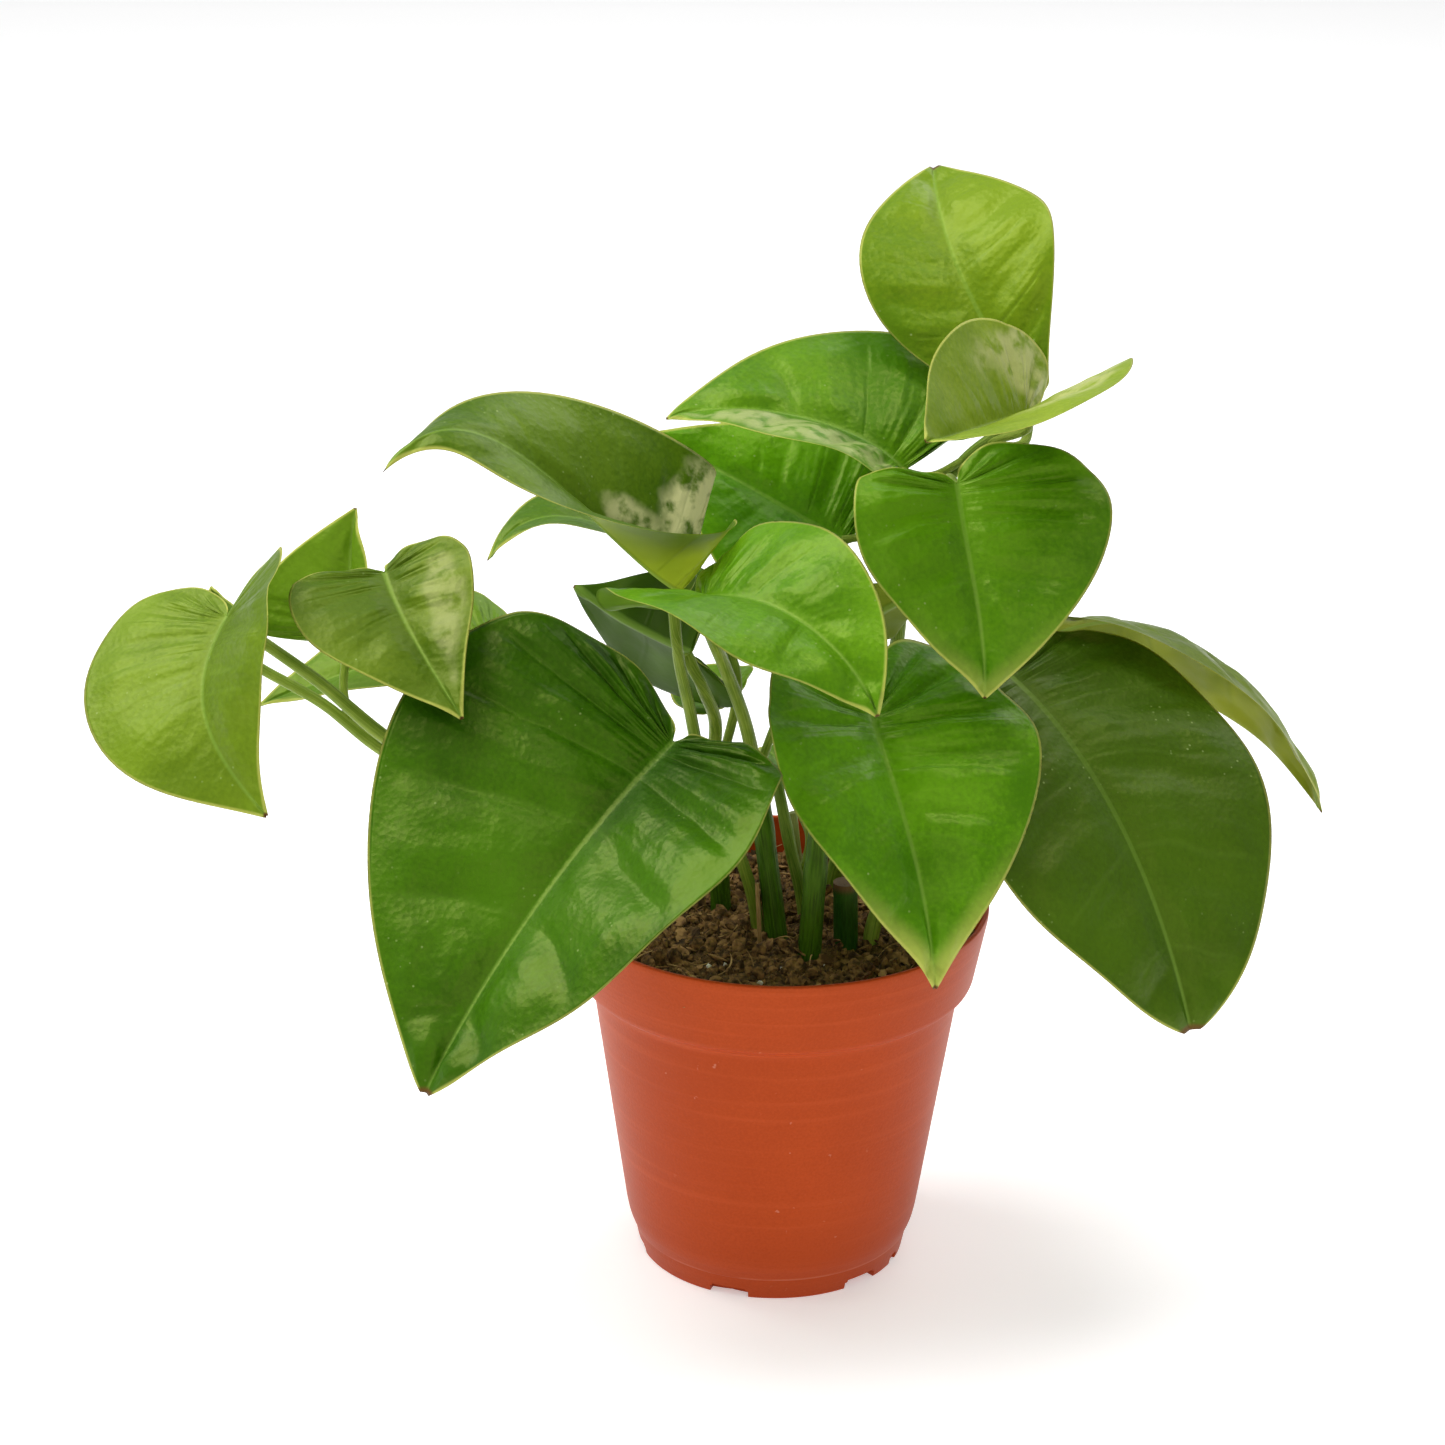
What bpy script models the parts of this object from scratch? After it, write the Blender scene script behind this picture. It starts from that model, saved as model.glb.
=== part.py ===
"""Potted pothos plant in a 10.5 cm nursery pot.

Modelled in metres, +Z up. The origin is the middle of the pot's flat underside, and the
plant's fuller side faces -Y. Lengths in the tables below are in millimetres.
"""
from collections import namedtuple
from math import asin, cos, pi, radians, sin

import bmesh
import bpy
from mathutils import Vector

MM = 0.001
GAP = 0.3                 # clearance between neighbouring pieces

# ---------------------------------------------------------------- driving dimensions
POT_HEIGHT = 94.4
RIM_RADIUS = 52.5         # outer radius of the lip, a 10.5 cm pot
BAND_RADIUS = 49.3        # outer radius at the lower edge of the rim band
BAND_HEIGHT = 18.4        # from the lower edge of the rim band up to the lip
NECK_RADIUS = 45.7        # body radius just under the rim band
LEDGE_HEIGHT = 3.3        # from the neck up to the lower edge of the rim band
HEEL_RADIUS = 36.8        # body radius where it turns in towards the foot
HEEL_HEIGHT = 12.0
FOOT_RADIUS = 33.7
WALL = 1.2
FLOOR = 3.4               # floor thickness
LIP_ROUND = 0.6           # radius of the lip's rounded top
TURN_STEPS = 48           # steps of the pot and the soil round their axis

SLOT_HEIGHT = 2.5         # drain slots in the edge of the foot
SLOT_WIDTH = 10.0
SLOT_DEPTH = 6.0
SLOT_FIRST = -17.5        # degrees, counted from the front towards +X
SLOT_COUNT = 6
SIDE_SLOT = (67.0, 4.0)   # one narrow slot: its angle and its width

SOIL_DROP = 8.1           # from the lip down to the soil at the wall
SOIL_CROWN = 2.7          # how much higher the soil stands in the middle

BLADE = 0.6               # thickness of a leaf
ROWS = 11                 # grid rows from stalk notch to tip
COLUMNS = 8               # grid columns from edge to edge
NOTCH = 158.0             # the outline starts and ends at these angles, in degrees
TIP = 6.0

TUBE_SIDES = 2            # bevel resolution of stems and stalks

BAND_BOTTOM = POT_HEIGHT - BAND_HEIGHT
NECK_HEIGHT = BAND_BOTTOM - LEDGE_HEIGHT
SOIL_EDGE = POT_HEIGHT - SOIL_DROP
DRAWN_LIP = 94.4          # height of the lip that the tables of leaves and stems are drawn for
DRAWN_RADIUS = 52.5       # and its radius
LIFT = Vector((0.0, 0.0, POT_HEIGHT - DRAWN_LIP))    # so the plant rises with the lip
SPREAD = RIM_RADIUS / DRAWN_RADIUS                   # so hanging stems still clear the lip

# ---------------------------------------------------------------- colours (linear RGB)
GREEN = (0.060, 0.190, 0.010, 1.0)
LIME = (0.220, 0.330, 0.020, 1.0)
STALK_GREEN = (0.110, 0.220, 0.020, 1.0)
STEM_GREEN = (0.030, 0.095, 0.008, 1.0)
TERRACOTTA = (0.515, 0.082, 0.026, 1.0)
PEAT = (0.052, 0.028, 0.014, 1.0)
STRAW = (0.330, 0.180, 0.070, 1.0)

# ---------------------------------------------------------------- leaves
# A side holds its width, its fold above the flat in degrees at the stalk end and at the tip
# end, how far its lobe reaches back past the joint, and how pointed its outline is.
Side = namedtuple("Side", "width fold tip_fold lobe point")

# A leaf holds four points along its rib from the joint to the tip, the direction its upper
# face looks in at the joint and at the tip, and its two sides. right is the side at the right
# hand of someone who looks from the joint to the tip with the upper face upwards. taper moves
# the widest place towards the tip, and sharp narrows the last part into a drawn-out point.
Leaf = namedtuple("Leaf", "rib face tip_face right left taper sharp colour",
                  defaults=(0.8, 0.5, GREEN))

LEAVES = {
    "front_left": Leaf(
        [(-25, -40, 151), (-44, -58, 134), (-63, -76, 111), (-80, -93, 83)],
        (-0.15, -0.75, 0.6), (-0.15, -0.75, 0.6),
        Side(57, 5, 5, 0.8, 1.5), Side(46, 34, 28, 0.5, 1.4), sharp=0.45),
    "front_middle": Leaf(
        [(21, -32, 156), (27, -48, 143), (33, -60, 125), (37, -69, 101)],
        (0.15, -0.6, 0.8), (0.2, -0.75, 0.65),
        Side(31, 20, 20, 2.4, 1.6), Side(37, 5, 5, 3.0, 1.6), sharp=0.65),
    "front_right": Leaf(
        [(54, -5, 157), (73, -22, 140), (88, -38, 115), (99, -50, 82)],
        (0.3, -0.75, 0.6), (0.3, -0.75, 0.6),
        Side(40, 10, 10, 0.4, 1.4), Side(43, -18, 10, 0.4, 1.3), sharp=0.2, taper=1.3),
    "back_right": Leaf(
        [(67, 35, 152), (94, 31, 156), (120, 27, 139), (137, 22, 109)],
        (0.5, 0.4, 0.7), (0.8, 0.3, 0.3),
        Side(28, -20, -20, 0.3, 1.7), Side(28, -20, -20, 0.3, 1.7), sharp=0.3, colour=LIME),
    "top": Leaf(
        [(58, 22, 218), (46, 30, 236), (38, 45, 251), (35, 72, 263)],
        (-0.2, -0.95, 0.2), (-0.15, -0.5, 0.85),
        Side(29, 10, 10, 0.3, 1.1), Side(26, 15, 15, 0.3, 1.3), sharp=0.75, taper=3.5, colour=LIME),
    "centre": Leaf(
        [(-19, -35, 185), (-3, -50, 189), (12, -62, 183), (22, -72, 170)],
        (0.0, -0.35, 0.9), (0.0, -0.6, 0.8),
        Side(31, 35, 10, 1.5, 1.7), Side(24, 15, 20, 1.0, 1.7)),
    "right_middle": Leaf(
        [(40, -13, 207), (43, -25, 193), (46, -35, 178), (47, -41, 163)],
        (0.05, -0.7, 0.7), (0.05, -0.7, 0.7),
        Side(28, 18, 15, 0.4, 1.9), Side(35, 5, 5, 1.6, 1.9), sharp=0.5),
    "upper_folded": Leaf(
        [(57, 5, 219), (47, -12, 221), (38, -30, 224), (31, -45, 227)],
        (0.0, -0.3, 0.95), (0.0, -0.3, 0.95),
        Side(25, 58, 50, 2.0, 1.6), Side(36, 45, 15, 2.6, 1.5)),
    "upper_middle": Leaf(
        [(28, 5, 204), (13, 8, 213), (-9, 10, 217), (-30, 10, 214)],
        (0.0, -0.3, 0.95), (0.0, -0.3, 0.95),
        Side(36, 15, 10, 0.1, 2.0), Side(26, 32, 10, 0.2, 1.7)),
    "inner_middle": Leaf(
        [(15, 20, 181), (1, 25, 187), (-16, 30, 195), (-36, 32, 204)],
        (0.0, -0.6, 0.8), (0.0, -0.6, 0.8),
        Side(26, 10, 10, 0.4, 1.7), Side(30, 10, 10, 0.6, 1.7)),
    "curled": Leaf(
        [(-25, -10, 177), (-46, -20, 200), (-70, -30, 222), (-93, -40, 214)],
        (0.2, -0.75, 0.6), (-0.3, -0.6, 0.6),
        Side(33, 5, -60, 1.0, 2.0), Side(24, 140, -30, 0.1, 2.0), taper=0.5),
    "under_curled": Leaf(
        [(-33, 15, 182), (-47, 10, 188), (-60, 5, 190), (-72, 0, 180)],
        (0.0, -0.1, 1.0), (-0.3, -0.1, 0.9),
        Side(14, 10, 10, 0.5, 1.7), Side(16, 10, 10, 0.4, 1.7)),
    "far_left": Leaf(
        [(-132, -15, 171), (-136, -30, 160), (-132, -42, 149), (-118, -52, 134)],
        (-0.5, -0.6, 0.6), (-0.3, -0.7, 0.6),
        Side(34, 5, 5, 0.8, 1.7), Side(27, 30, 10, 1.9, 1.7)),
    "mid_left": Leaf(
        [(-95, -10, 181), (-90, -22, 175), (-83, -34, 168), (-73, -48, 158)],
        (0.0, -0.6, 0.8), (0.0, -0.6, 0.8),
        Side(25, 10, 10, 0.4, 1.7), Side(21, 20, 20, 0.8, 1.7)),
    "upright_left": Leaf(
        [(-106, 8, 157), (-106, 12, 166), (-106, 17, 176), (-105, 22, 187)],
        (-0.1, -0.9, 0.4), (-0.1, -0.9, 0.4),
        Side(9, 40, 40, 1.0, 1.7), Side(24, 10, 10, 0.3, 1.7)),
    "rolled": Leaf(
        [(-134, 5, 157), (-136, 8, 161), (-138, 10, 165), (-140, 12, 169)],
        (-0.3, -0.9, 0.4), (-0.3, -0.9, 0.4),
        Side(8, 40, 40, 1.0, 1.7), Side(8, 40, 40, 1.0, 1.7)),
    "back_left": Leaf(
        [(-71, 30, 149), (-90, 25, 148), (-111, 22, 142), (-131, 18, 135)],
        (0.0, -0.3, 0.95), (0.0, -0.3, 0.95),
        Side(19, 10, 10, 0.8, 1.7), Side(15, 10, 10, 0.2, 1.7)),
    "tucked": Leaf(
        [(-22, -5, 160), (-32, 5, 161), (-42, 12, 164), (-52, 18, 169)],
        (0.0, 0.9, 0.4), (0.0, 0.9, 0.4),
        Side(27, 10, 10, 0.05, 1.7), Side(20, 60, 60, 0.05, 1.7)),
    "small_inner": Leaf(
        [(-12, 20, 139), (-18, 25, 138), (-24, 30, 139), (-31, 34, 140)],
        (0.0, -0.3, 0.95), (0.0, -0.3, 0.95),
        Side(13, 10, 10, 0.5, 1.7), Side(11, 10, 10, 0.3, 1.7)),
    "low_inner": Leaf(
        [(2, 28, 115), (0, 33, 116), (-2, 38, 117), (-6, 43, 117)],
        (0.0, -0.3, 0.95), (0.0, -0.3, 0.95),
        Side(9, 10, 10, 1.0, 1.7), Side(9, 10, 10, 1.0, 1.7)),
    "inner_right": Leaf(
        [(18, 8, 163), (23, 7, 167), (28, 6.3, 170), (33, 5, 171.5)],
        (0.0, 0.8, 0.6), (0.0, 0.8, 0.6),
        Side(11.5, 10, 12, 0.7, 1.7), Side(12, 8, 12, 0.8, 1.7), colour=LIME),
}

# ---------------------------------------------------------------- stems and stalks
# A stem holds its route from its lower end up, its radius at each end, its colour, and whether
# it hangs over the pot's lip. Every stem is planted in the soil.
Stem = namedtuple("Stem", "route radius top_radius colour hangs", defaults=(STEM_GREEN, False))
PLANTED = 66.0            # height of the stems' lower ends
HANG_TOP = 112.0          # below this height a hanging stem moves in and out with the lip

STEMS = {
    "dark_stem": Stem([(-13, 8, PLANTED), (-14, 8, 86), (-15, 9, 104), (-17, 10, 123)], 2.8, 2.2),
    "main_stem": Stem([(2, -11, PLANTED), (0, -10, 88), (-3, -6, 110), (-6, 0, 130)], 2.9, 2.4),
    "right_stem": Stem([(7, -21, PLANTED), (8, -20, 87), (9, -18, 107), (10, -16, 123)], 3.1, 2.6),
    "cut_stem": Stem([(17, -14, PLANTED), (17, -14, 86), (16.5, -14, 105)], 3.0, 3.0),
    "tall_stem": Stem(
        [(11, 19, PLANTED), (14, 20, 91), (22, 24, 122), (28, 22, 152), (29.5, 18, 173),
         (34, 14, 191), (43, 12, 205), (52, 11, 213)], 2.2, 1.4),
    "sheath": Stem([(9, 1, PLANTED), (6.5, 2, 91), (3, 4, 106), (-1, 7, 124)], 1.8, 1.4, STALK_GREEN),
    "sheath_stub": Stem([(10, 9, PLANTED), (6, 9, 93), (3.5, 10, 113)], 1.2, 1.0, LIME),
    "left_stem": Stem(
        [(-16, 26, PLANTED), (-22, 25, 90), (-55, 14, 111), (-89, -9, 134), (-111, -15, 155),
         (-129.5, -13.5, 168)], 2.1, 1.4, STALK_GREEN, hangs=True),
    "back_left_stem": Stem(
        [(-10, 36, PLANTED), (-16, 35, 88), (-55, 25, 104), (-92, 5, 126), (-112, 1, 143),
         (-127, 3, 151), (-132.5, 4.5, 155)], 1.8, 1.3, STALK_GREEN, hangs=True),
    "dry_fibre": Stem([(-4, -17, 80), (-4, -17, 89), (-5, -16, 105)], 0.6, 0.5, STRAW),
}

# A stalk holds its route from near its leaf's joint down, its radius, and the stem it meets
# with the height of the meeting. Without a stem its route ends in the soil.
Stalk = namedtuple("Stalk", "route radius stem height", defaults=(None, None))

STALKS = {
    "front_left": Stalk([(-21, -32, 140), (-15, -20, 125), (-10, -12, 112), (-5, -8, 92),
                         (-4, -7, PLANTED)], 1.5),
    "front_middle": Stalk([(17, -26, 147), (13, -21, 136)], 1.4, "right_stem", 121),
    "front_right": Stalk([(46, 3, 140), (35, 2, 115), (26, -8, 98), (23, -12, 87),
                          (23, -12, PLANTED)], 1.8),
    "back_right": Stalk([(55, 30, 146), (38, 29, 134)], 1.4, "tall_stem", 126),
    "centre": Stalk([(-17, -25, 173), (-14, -14, 161), (-9, -6, 144)], 1.5, "main_stem", 128),
    "right_middle": Stalk([(39, 0, 204)], 1.1, "tall_stem", 199),
    "upper_middle": Stalk([(35, 8, 202)], 0.9, "tall_stem", 205),
    "inner_middle": Stalk([(22, 19, 183)], 1.0, "tall_stem", 187),
    "curled": Stalk([(-25, -12, 163), (-22, -7, 146), (-20, -1, 133)], 1.4, "dark_stem", 116),
    "under_curled": Stalk([(-26, 22, 166), (-14, 20, 153), (-11, 13, 142)], 1.1, "dark_stem", 119),
    "mid_left": Stalk([(-88, -2, 167), (-77, 4, 153), (-64, 11, 133)], 1.2, "left_stem", 113),
    "upright_left": Stalk([(-107, 4, 147)], 1.0, "back_left_stem", 137),
    "back_left": Stalk([(-66, 26, 137)], 1.2, "back_left_stem", 106),
    "tucked": Stalk([(-19, -5, 151), (-16, 3, 139)], 1.5, "dark_stem", 122),
    "small_inner": Stalk([(-8, 14, 134)], 0.8, "main_stem", 126),
    "low_inner": Stalk([(4, 20, 111), (7.5, 10, 106)], 0.8, "sheath", 98),
    "inner_right": Stalk([(10, 13, 152), (1, 12, 141)], 1.0, "main_stem", 128),
    "top": Stalk([(58.5, 22.5, 210), (56, 17, 207)], 1.1, "tall_stem", 208),
    "upper_folded": Stalk([(57, 7, 214)], 1.0, "tall_stem", 209),
}


# ---------------------------------------------------------------- helpers
def clear_scene():
    """Takes every object out of the scene."""
    for thing in list(bpy.data.objects):
        bpy.data.objects.remove(thing, do_unlink=True)


def new_collection(name):
    """Makes a collection in the scene."""
    collection = bpy.data.collections.new(name)
    bpy.context.scene.collection.children.link(collection)
    return collection


def material(name, colour, roughness):
    """A plain Principled material with one colour."""
    made = bpy.data.materials.get(name) or bpy.data.materials.new(name)
    made.use_nodes = True
    shader = made.node_tree.nodes["Principled BSDF"]
    shader.inputs["Base Color"].default_value = colour
    shader.inputs["Roughness"].default_value = roughness
    shader.inputs["Metallic"].default_value = 0.0
    return made


def add(collection, name, data, look=None):
    """Puts mesh or curve data into a collection as a named object."""
    thing = bpy.data.objects.new(name, data)
    if look:
        data.materials.append(look)
    collection.objects.link(thing)
    return thing


def turned(name, profile, steps, collection, look=None):
    """Turns an outline, given in millimetres as radius and height, round the Z axis."""
    data = bpy.data.meshes.new(name)
    points = [(radius * MM, 0.0, height * MM) for radius, height in profile]
    edges = [(index, index + 1) for index in range(len(points) - 1)]
    data.from_pydata(points, edges, [])
    thing = add(collection, name, data, look)
    screw = thing.modifiers.new("Turn", "SCREW")
    screw.axis = "Z"
    screw.steps = screw.render_steps = steps
    screw.use_smooth_shade = True
    screw.use_merge_vertices = True
    screw.merge_threshold = 0.00001
    return thing


def cut(target, cutter):
    """Cuts one object out of another and hides the cutter from renders."""
    cutter.hide_render = True
    cutter.display_type = "WIRE"
    boolean = target.modifiers.new("Cut " + cutter.name, "BOOLEAN")
    boolean.operation = "DIFFERENCE"
    boolean.object = cutter


# ---------------------------------------------------------------- pot and soil
def pot_outline():
    """The pot's section from the middle of its underside, up the outside and down the inside."""
    lip = [(RIM_RADIUS - LIP_ROUND * (1 - cos(turn)), POT_HEIGHT - LIP_ROUND * (1 - sin(turn)))
           for turn in (pi * step / 6 for step in range(7))]
    inside = [(BAND_RADIUS - WALL, BAND_BOTTOM + 1.0), (BAND_RADIUS - WALL - 0.6, BAND_BOTTOM),
              (NECK_RADIUS - WALL, NECK_HEIGHT + 1.3), (HEEL_RADIUS - WALL, HEEL_HEIGHT),
              (FOOT_RADIUS - 0.2, FLOOR + 1.2), (FOOT_RADIUS - 1.4, FLOOR), (0.0, FLOOR)]
    outside = [(BAND_RADIUS, BAND_BOTTOM), (BAND_RADIUS - 0.5, BAND_BOTTOM - 0.9),
               (NECK_RADIUS + 0.5, NECK_HEIGHT + 0.4), (NECK_RADIUS, NECK_HEIGHT - 0.5),
               (HEEL_RADIUS, HEEL_HEIGHT), (HEEL_RADIUS - 0.7, HEEL_HEIGHT - 3.0),
               (FOOT_RADIUS + 1.1, 5.9), (FOOT_RADIUS, 0.4), (FOOT_RADIUS - 0.4, 0.0), (0.0, 0.0)]
    return inside[::-1] + lip[::-1] + outside


def make_pot(parts, cutters):
    """The terracotta-coloured plastic pot with drain slots in the edge of its foot."""
    look = material("terracotta plastic", TERRACOTTA, 0.5)
    pot = turned("pot", pot_outline(), TURN_STEPS, parts, look)
    slots = [(SLOT_FIRST + 360 * number / SLOT_COUNT, SLOT_WIDTH) for number in range(SLOT_COUNT)]
    for number, (angle, width) in enumerate(slots + [SIDE_SLOT]):
        cutter = box_cutter("slot_%d" % number, cutters, width, radians(angle))
        cut(pot, cutter)


def box_cutter(name, collection, width, angle):
    """A box that reaches through the edge of the foot, angle being counted from the front."""
    shape = bmesh.new()
    bmesh.ops.create_cube(shape, size=1.0)
    size = (width * MM, SLOT_DEPTH * MM, 2 * SLOT_HEIGHT * MM)
    bmesh.ops.scale(shape, verts=shape.verts, vec=size)
    data = bpy.data.meshes.new(name)
    shape.to_mesh(data)
    shape.free()
    cutter = add(collection, name, data)
    cutter.location = (FOOT_RADIUS * sin(angle) * MM, -FOOT_RADIUS * cos(angle) * MM, 0.0)
    cutter.rotation_euler = (0.0, 0.0, angle)
    return cutter


def make_soil(parts, cutters, planted):
    """The block of soil, with a hole for each stem and stalk that is planted in it."""
    slope = (RIM_RADIUS - BAND_RADIUS) / (POT_HEIGHT - BAND_BOTTOM)
    edge = BAND_RADIUS - WALL - GAP + slope * (SOIL_EDGE - BAND_BOTTOM - 1.0)
    soil_top = SOIL_EDGE + SOIL_CROWN
    outline = [(0.0, soil_top), (14.0, soil_top - 0.3), (30.0, soil_top - 1.2),
               (edge - 1.5, SOIL_EDGE), (edge, SOIL_EDGE - 1.2),
               (BAND_RADIUS - WALL - GAP, BAND_BOTTOM + 1.4), (NECK_RADIUS - WALL - GAP, NECK_HEIGHT + 1.8),
               (HEEL_RADIUS - WALL - GAP, HEEL_HEIGHT), (FOOT_RADIUS - 0.2 - GAP, FLOOR + 1.5 + GAP),
               (FOOT_RADIUS - 2.0, FLOOR + GAP), (0.0, FLOOR + GAP)]
    soil = turned("soil", outline, TURN_STEPS, parts, material("peat", PEAT, 0.95))
    for name, route, radius in planted:
        deeper = [route[0] - (route[1] - route[0]).normalized() * 2 * GAP] + route[1:]
        curve = tube(name + "_hole", deeper, radius + GAP, radius + GAP, cutters)
        cut(soil, as_mesh(curve, cutters))


# ---------------------------------------------------------------- leaves
def rib_point(rib, along):
    """The point on the smooth line through four rib points, and its direction there."""
    a, b, c, d = (Vector(point) + LIFT for point in rib)

    def place(s):
        return (a * (-4.5 * (s - 1 / 3) * (s - 2 / 3) * (s - 1)) + b * (13.5 * s * (s - 2 / 3) * (s - 1))
                + c * (-13.5 * s * (s - 1 / 3) * (s - 1)) + d * (4.5 * s * (s - 1 / 3) * (s - 2 / 3)))

    return place(along), (place(along + 0.001) - place(along - 0.001)).normalized()


def widest(point, taper):
    """The greatest value of the outline's width formula, which is where its slope is zero."""
    turn = 2 * asin((point / (2 * point + 2 * taper)) ** 0.5)
    return sin(turn) ** point * cos(turn / 2) ** (2 * taper)


def blade_point(leaf, turn, across):
    """A point of the leaf's middle surface.

    turn is the angle in degrees round the heart-shaped outline, from the notch to the tip, and
    across runs from -1 at the left edge through 0 on the rib to 1 at the right edge.
    """
    side = leaf.right if across >= 0 else leaf.left
    turn = radians(turn)
    open_ = (1 + cos(turn)) / 2
    edge_along = open_ * cos(turn) * (side.lobe if cos(turn) < 0 else 1.0)
    along = open_ ** 5 + (edge_along - open_ ** 5) * abs(across) ** 1.3
    out = abs(across) * sin(turn) ** side.point * open_ ** leaf.taper / widest(side.point, leaf.taper)
    out *= 1 - leaf.sharp * max(edge_along, 0.0) ** 4
    blend = min(max(along, 0.0), 1.0)
    fold = radians(side.fold + (side.tip_fold - side.fold) * blend)
    middle, forward = rib_point(leaf.rib, along)
    upward = Vector(leaf.face).normalized().lerp(Vector(leaf.tip_face).normalized(), blend)
    sideways = forward.cross(upward).normalized()
    upward = sideways.cross(forward)
    reach = out * side.width
    sign = 1 if across >= 0 else -1
    return middle + sideways * (sign * reach * cos(fold)) + upward * (reach * sin(fold))


def make_leaf(name, leaf, parts):
    """One leaf blade: a grid laid onto the blade's surface and given its thickness."""
    shape = bmesh.new()
    bmesh.ops.create_grid(shape, x_segments=ROWS, y_segments=COLUMNS, size=1.0)
    on_rib = [vertex for vertex in shape.verts if abs(vertex.co.y) < 0.001]
    for vertex in shape.verts:
        turn = NOTCH + (TIP - NOTCH) * (vertex.co.x + 1) / 2
        vertex.co = blade_point(leaf, turn, -vertex.co.y) * MM
    bmesh.ops.remove_doubles(shape, verts=on_rib, dist=BLADE * MM)
    data = bpy.data.meshes.new(name)
    shape.to_mesh(data)
    shape.free()
    data.shade_smooth()
    look = material("leaf " + ("lime" if leaf.colour == LIME else "green"), leaf.colour, 0.35)
    blade = add(parts, name, data, look)
    solid = blade.modifiers.new("Thickness", "SOLIDIFY")
    solid.thickness = BLADE * MM
    solid.offset = 0.0


# ---------------------------------------------------------------- stems and stalks
def lifted(points):
    """The points of a table, moved up or down with the pot's lip."""
    return [Vector(point) + LIFT for point in points]


def smooth_route(points, each=2):
    """A Catmull-Rom line through the points, with this many steps between two of them."""
    ends = [points[0] * 2 - points[1]] + points + [points[-1] * 2 - points[-2]]
    line = []
    for index in range(len(points) - 1):
        a, b, c, d = ends[index:index + 4]
        for step in range(each):
            t = step / each
            line.append((b * 2 + (c - a) * t + (a * 2 - b * 5 + c * 4 - d) * t ** 2
                         + (b * 3 - a - c * 3 + d) * t ** 3) / 2)
    return line + [points[-1]]


def tube(name, route, radius, end_radius, collection, look=None):
    """A capped tube along a route, its radius changing evenly from one end to the other."""
    data = bpy.data.curves.new(name, "CURVE")
    data.dimensions = "3D"
    data.bevel_depth = radius * MM
    data.bevel_resolution = TUBE_SIDES
    data.use_fill_caps = True
    spline = data.splines.new("POLY")
    spline.points.add(len(route) - 1)
    for index, (point, place) in enumerate(zip(spline.points, route)):
        point.co = (*(place * MM), 1.0)
        point.radius = 1 + (end_radius / radius - 1) * index / (len(route) - 1)
    return add(collection, name, data, look)


def as_mesh(curve, collection):
    """Replaces a curve object by a closed mesh object of the same shape."""
    graph = bpy.context.evaluated_depsgraph_get()
    data = bpy.data.meshes.new_from_object(curve.evaluated_get(graph))
    shape = bmesh.new()
    shape.from_mesh(data)
    bmesh.ops.remove_doubles(shape, verts=shape.verts, dist=0.00001)
    bmesh.ops.recalc_face_normals(shape, faces=shape.faces)
    shape.to_mesh(data)
    shape.free()
    name = curve.name
    matrix = curve.matrix_world.copy()
    bpy.data.objects.remove(curve, do_unlink=True)
    thing = add(collection, name, data)
    thing.matrix_world = matrix
    return thing


def stem_line(stem):
    """A stem's smooth line, from its planted end up."""
    route = stem.route
    if stem.hangs:
        route = [(x * SPREAD, y * SPREAD, z) if z < HANG_TOP else (x, y, z) for x, y, z in route]
    return smooth_route(lifted(route))


def meeting(stem, height, last, radius):
    """Where a stalk that comes from the point last stops, just clear of the stem's side."""
    line = stem_line(stem)
    near = min(range(len(line)), key=lambda index: abs(line[index].z - LIFT.z - height))
    axis = (line[min(near + 1, len(line) - 1)] - line[max(near - 1, 0)]).normalized()
    centre = line[near]
    away = last - centre
    away = (away - axis * away.dot(axis)).normalized()
    thick = stem.radius + (stem.top_radius - stem.radius) * near / (len(line) - 1)
    heading = (centre - last).normalized()
    tilt = max(0.0, 1 - heading.dot(away) ** 2) ** 0.5
    return centre + away * (thick + 2 * GAP + radius * tilt)


def stalk_route(leaf, stalk):
    """A stalk's route, from just under its leaf's joint to its stem or into the soil."""
    joint, forward = rib_point(leaf.rib, 0.0)
    upward = Vector(leaf.face).normalized()
    upward = (upward - forward * upward.dot(forward)).normalized()
    start = joint - upward * (BLADE + GAP + stalk.radius * 0.9) - forward * (stalk.radius + GAP)
    points = [start] + lifted(stalk.route)
    if stalk.stem:
        points.append(meeting(STEMS[stalk.stem], stalk.height, points[-1], stalk.radius))
    return smooth_route(points)


def make_stems(parts):
    """Makes every stem and stalk, and returns those that are planted in the soil."""
    planted = []
    for name, stem in STEMS.items():
        route = stem_line(stem)
        look = material("stem " + name, stem.colour, 0.45)
        tube(name, route, stem.radius, stem.top_radius, parts, look)
        planted.append((name, route, stem.radius))
    for name, stalk in STALKS.items():
        route = stalk_route(LEAVES[name], stalk)
        look = material("stalk", STALK_GREEN, 0.4)
        tube(name + "_stalk", route, stalk.radius, stalk.radius * 1.15, parts, look)
        if not stalk.stem:
            planted.append((name + "_stalk", route[::-1], stalk.radius * 1.15))
    return planted


def main():
    clear_scene()
    parts = new_collection("potted_pothos")
    cutters = new_collection("cutters")
    make_pot(parts, cutters)
    planted = make_stems(parts)
    make_soil(parts, cutters, planted)
    for name, leaf in LEAVES.items():
        make_leaf(name + "_leaf", leaf, parts)


main()
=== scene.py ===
# %% [markdown]
# # A potted pothos
# The plant is a young pothos: heart-shaped, leathery leaves on thin stalks, which come out of
# a small plastic pot. The imported CAD model is the frame for everything here. It says how
# big each piece is and where it stands, and each cell below replaces some of its plain solids
# with finer ones.

# %% The frame and its size
from math import asin, cos, pi, radians, sin

import bmesh
import bpy
from mathutils import Matrix, Vector


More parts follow.
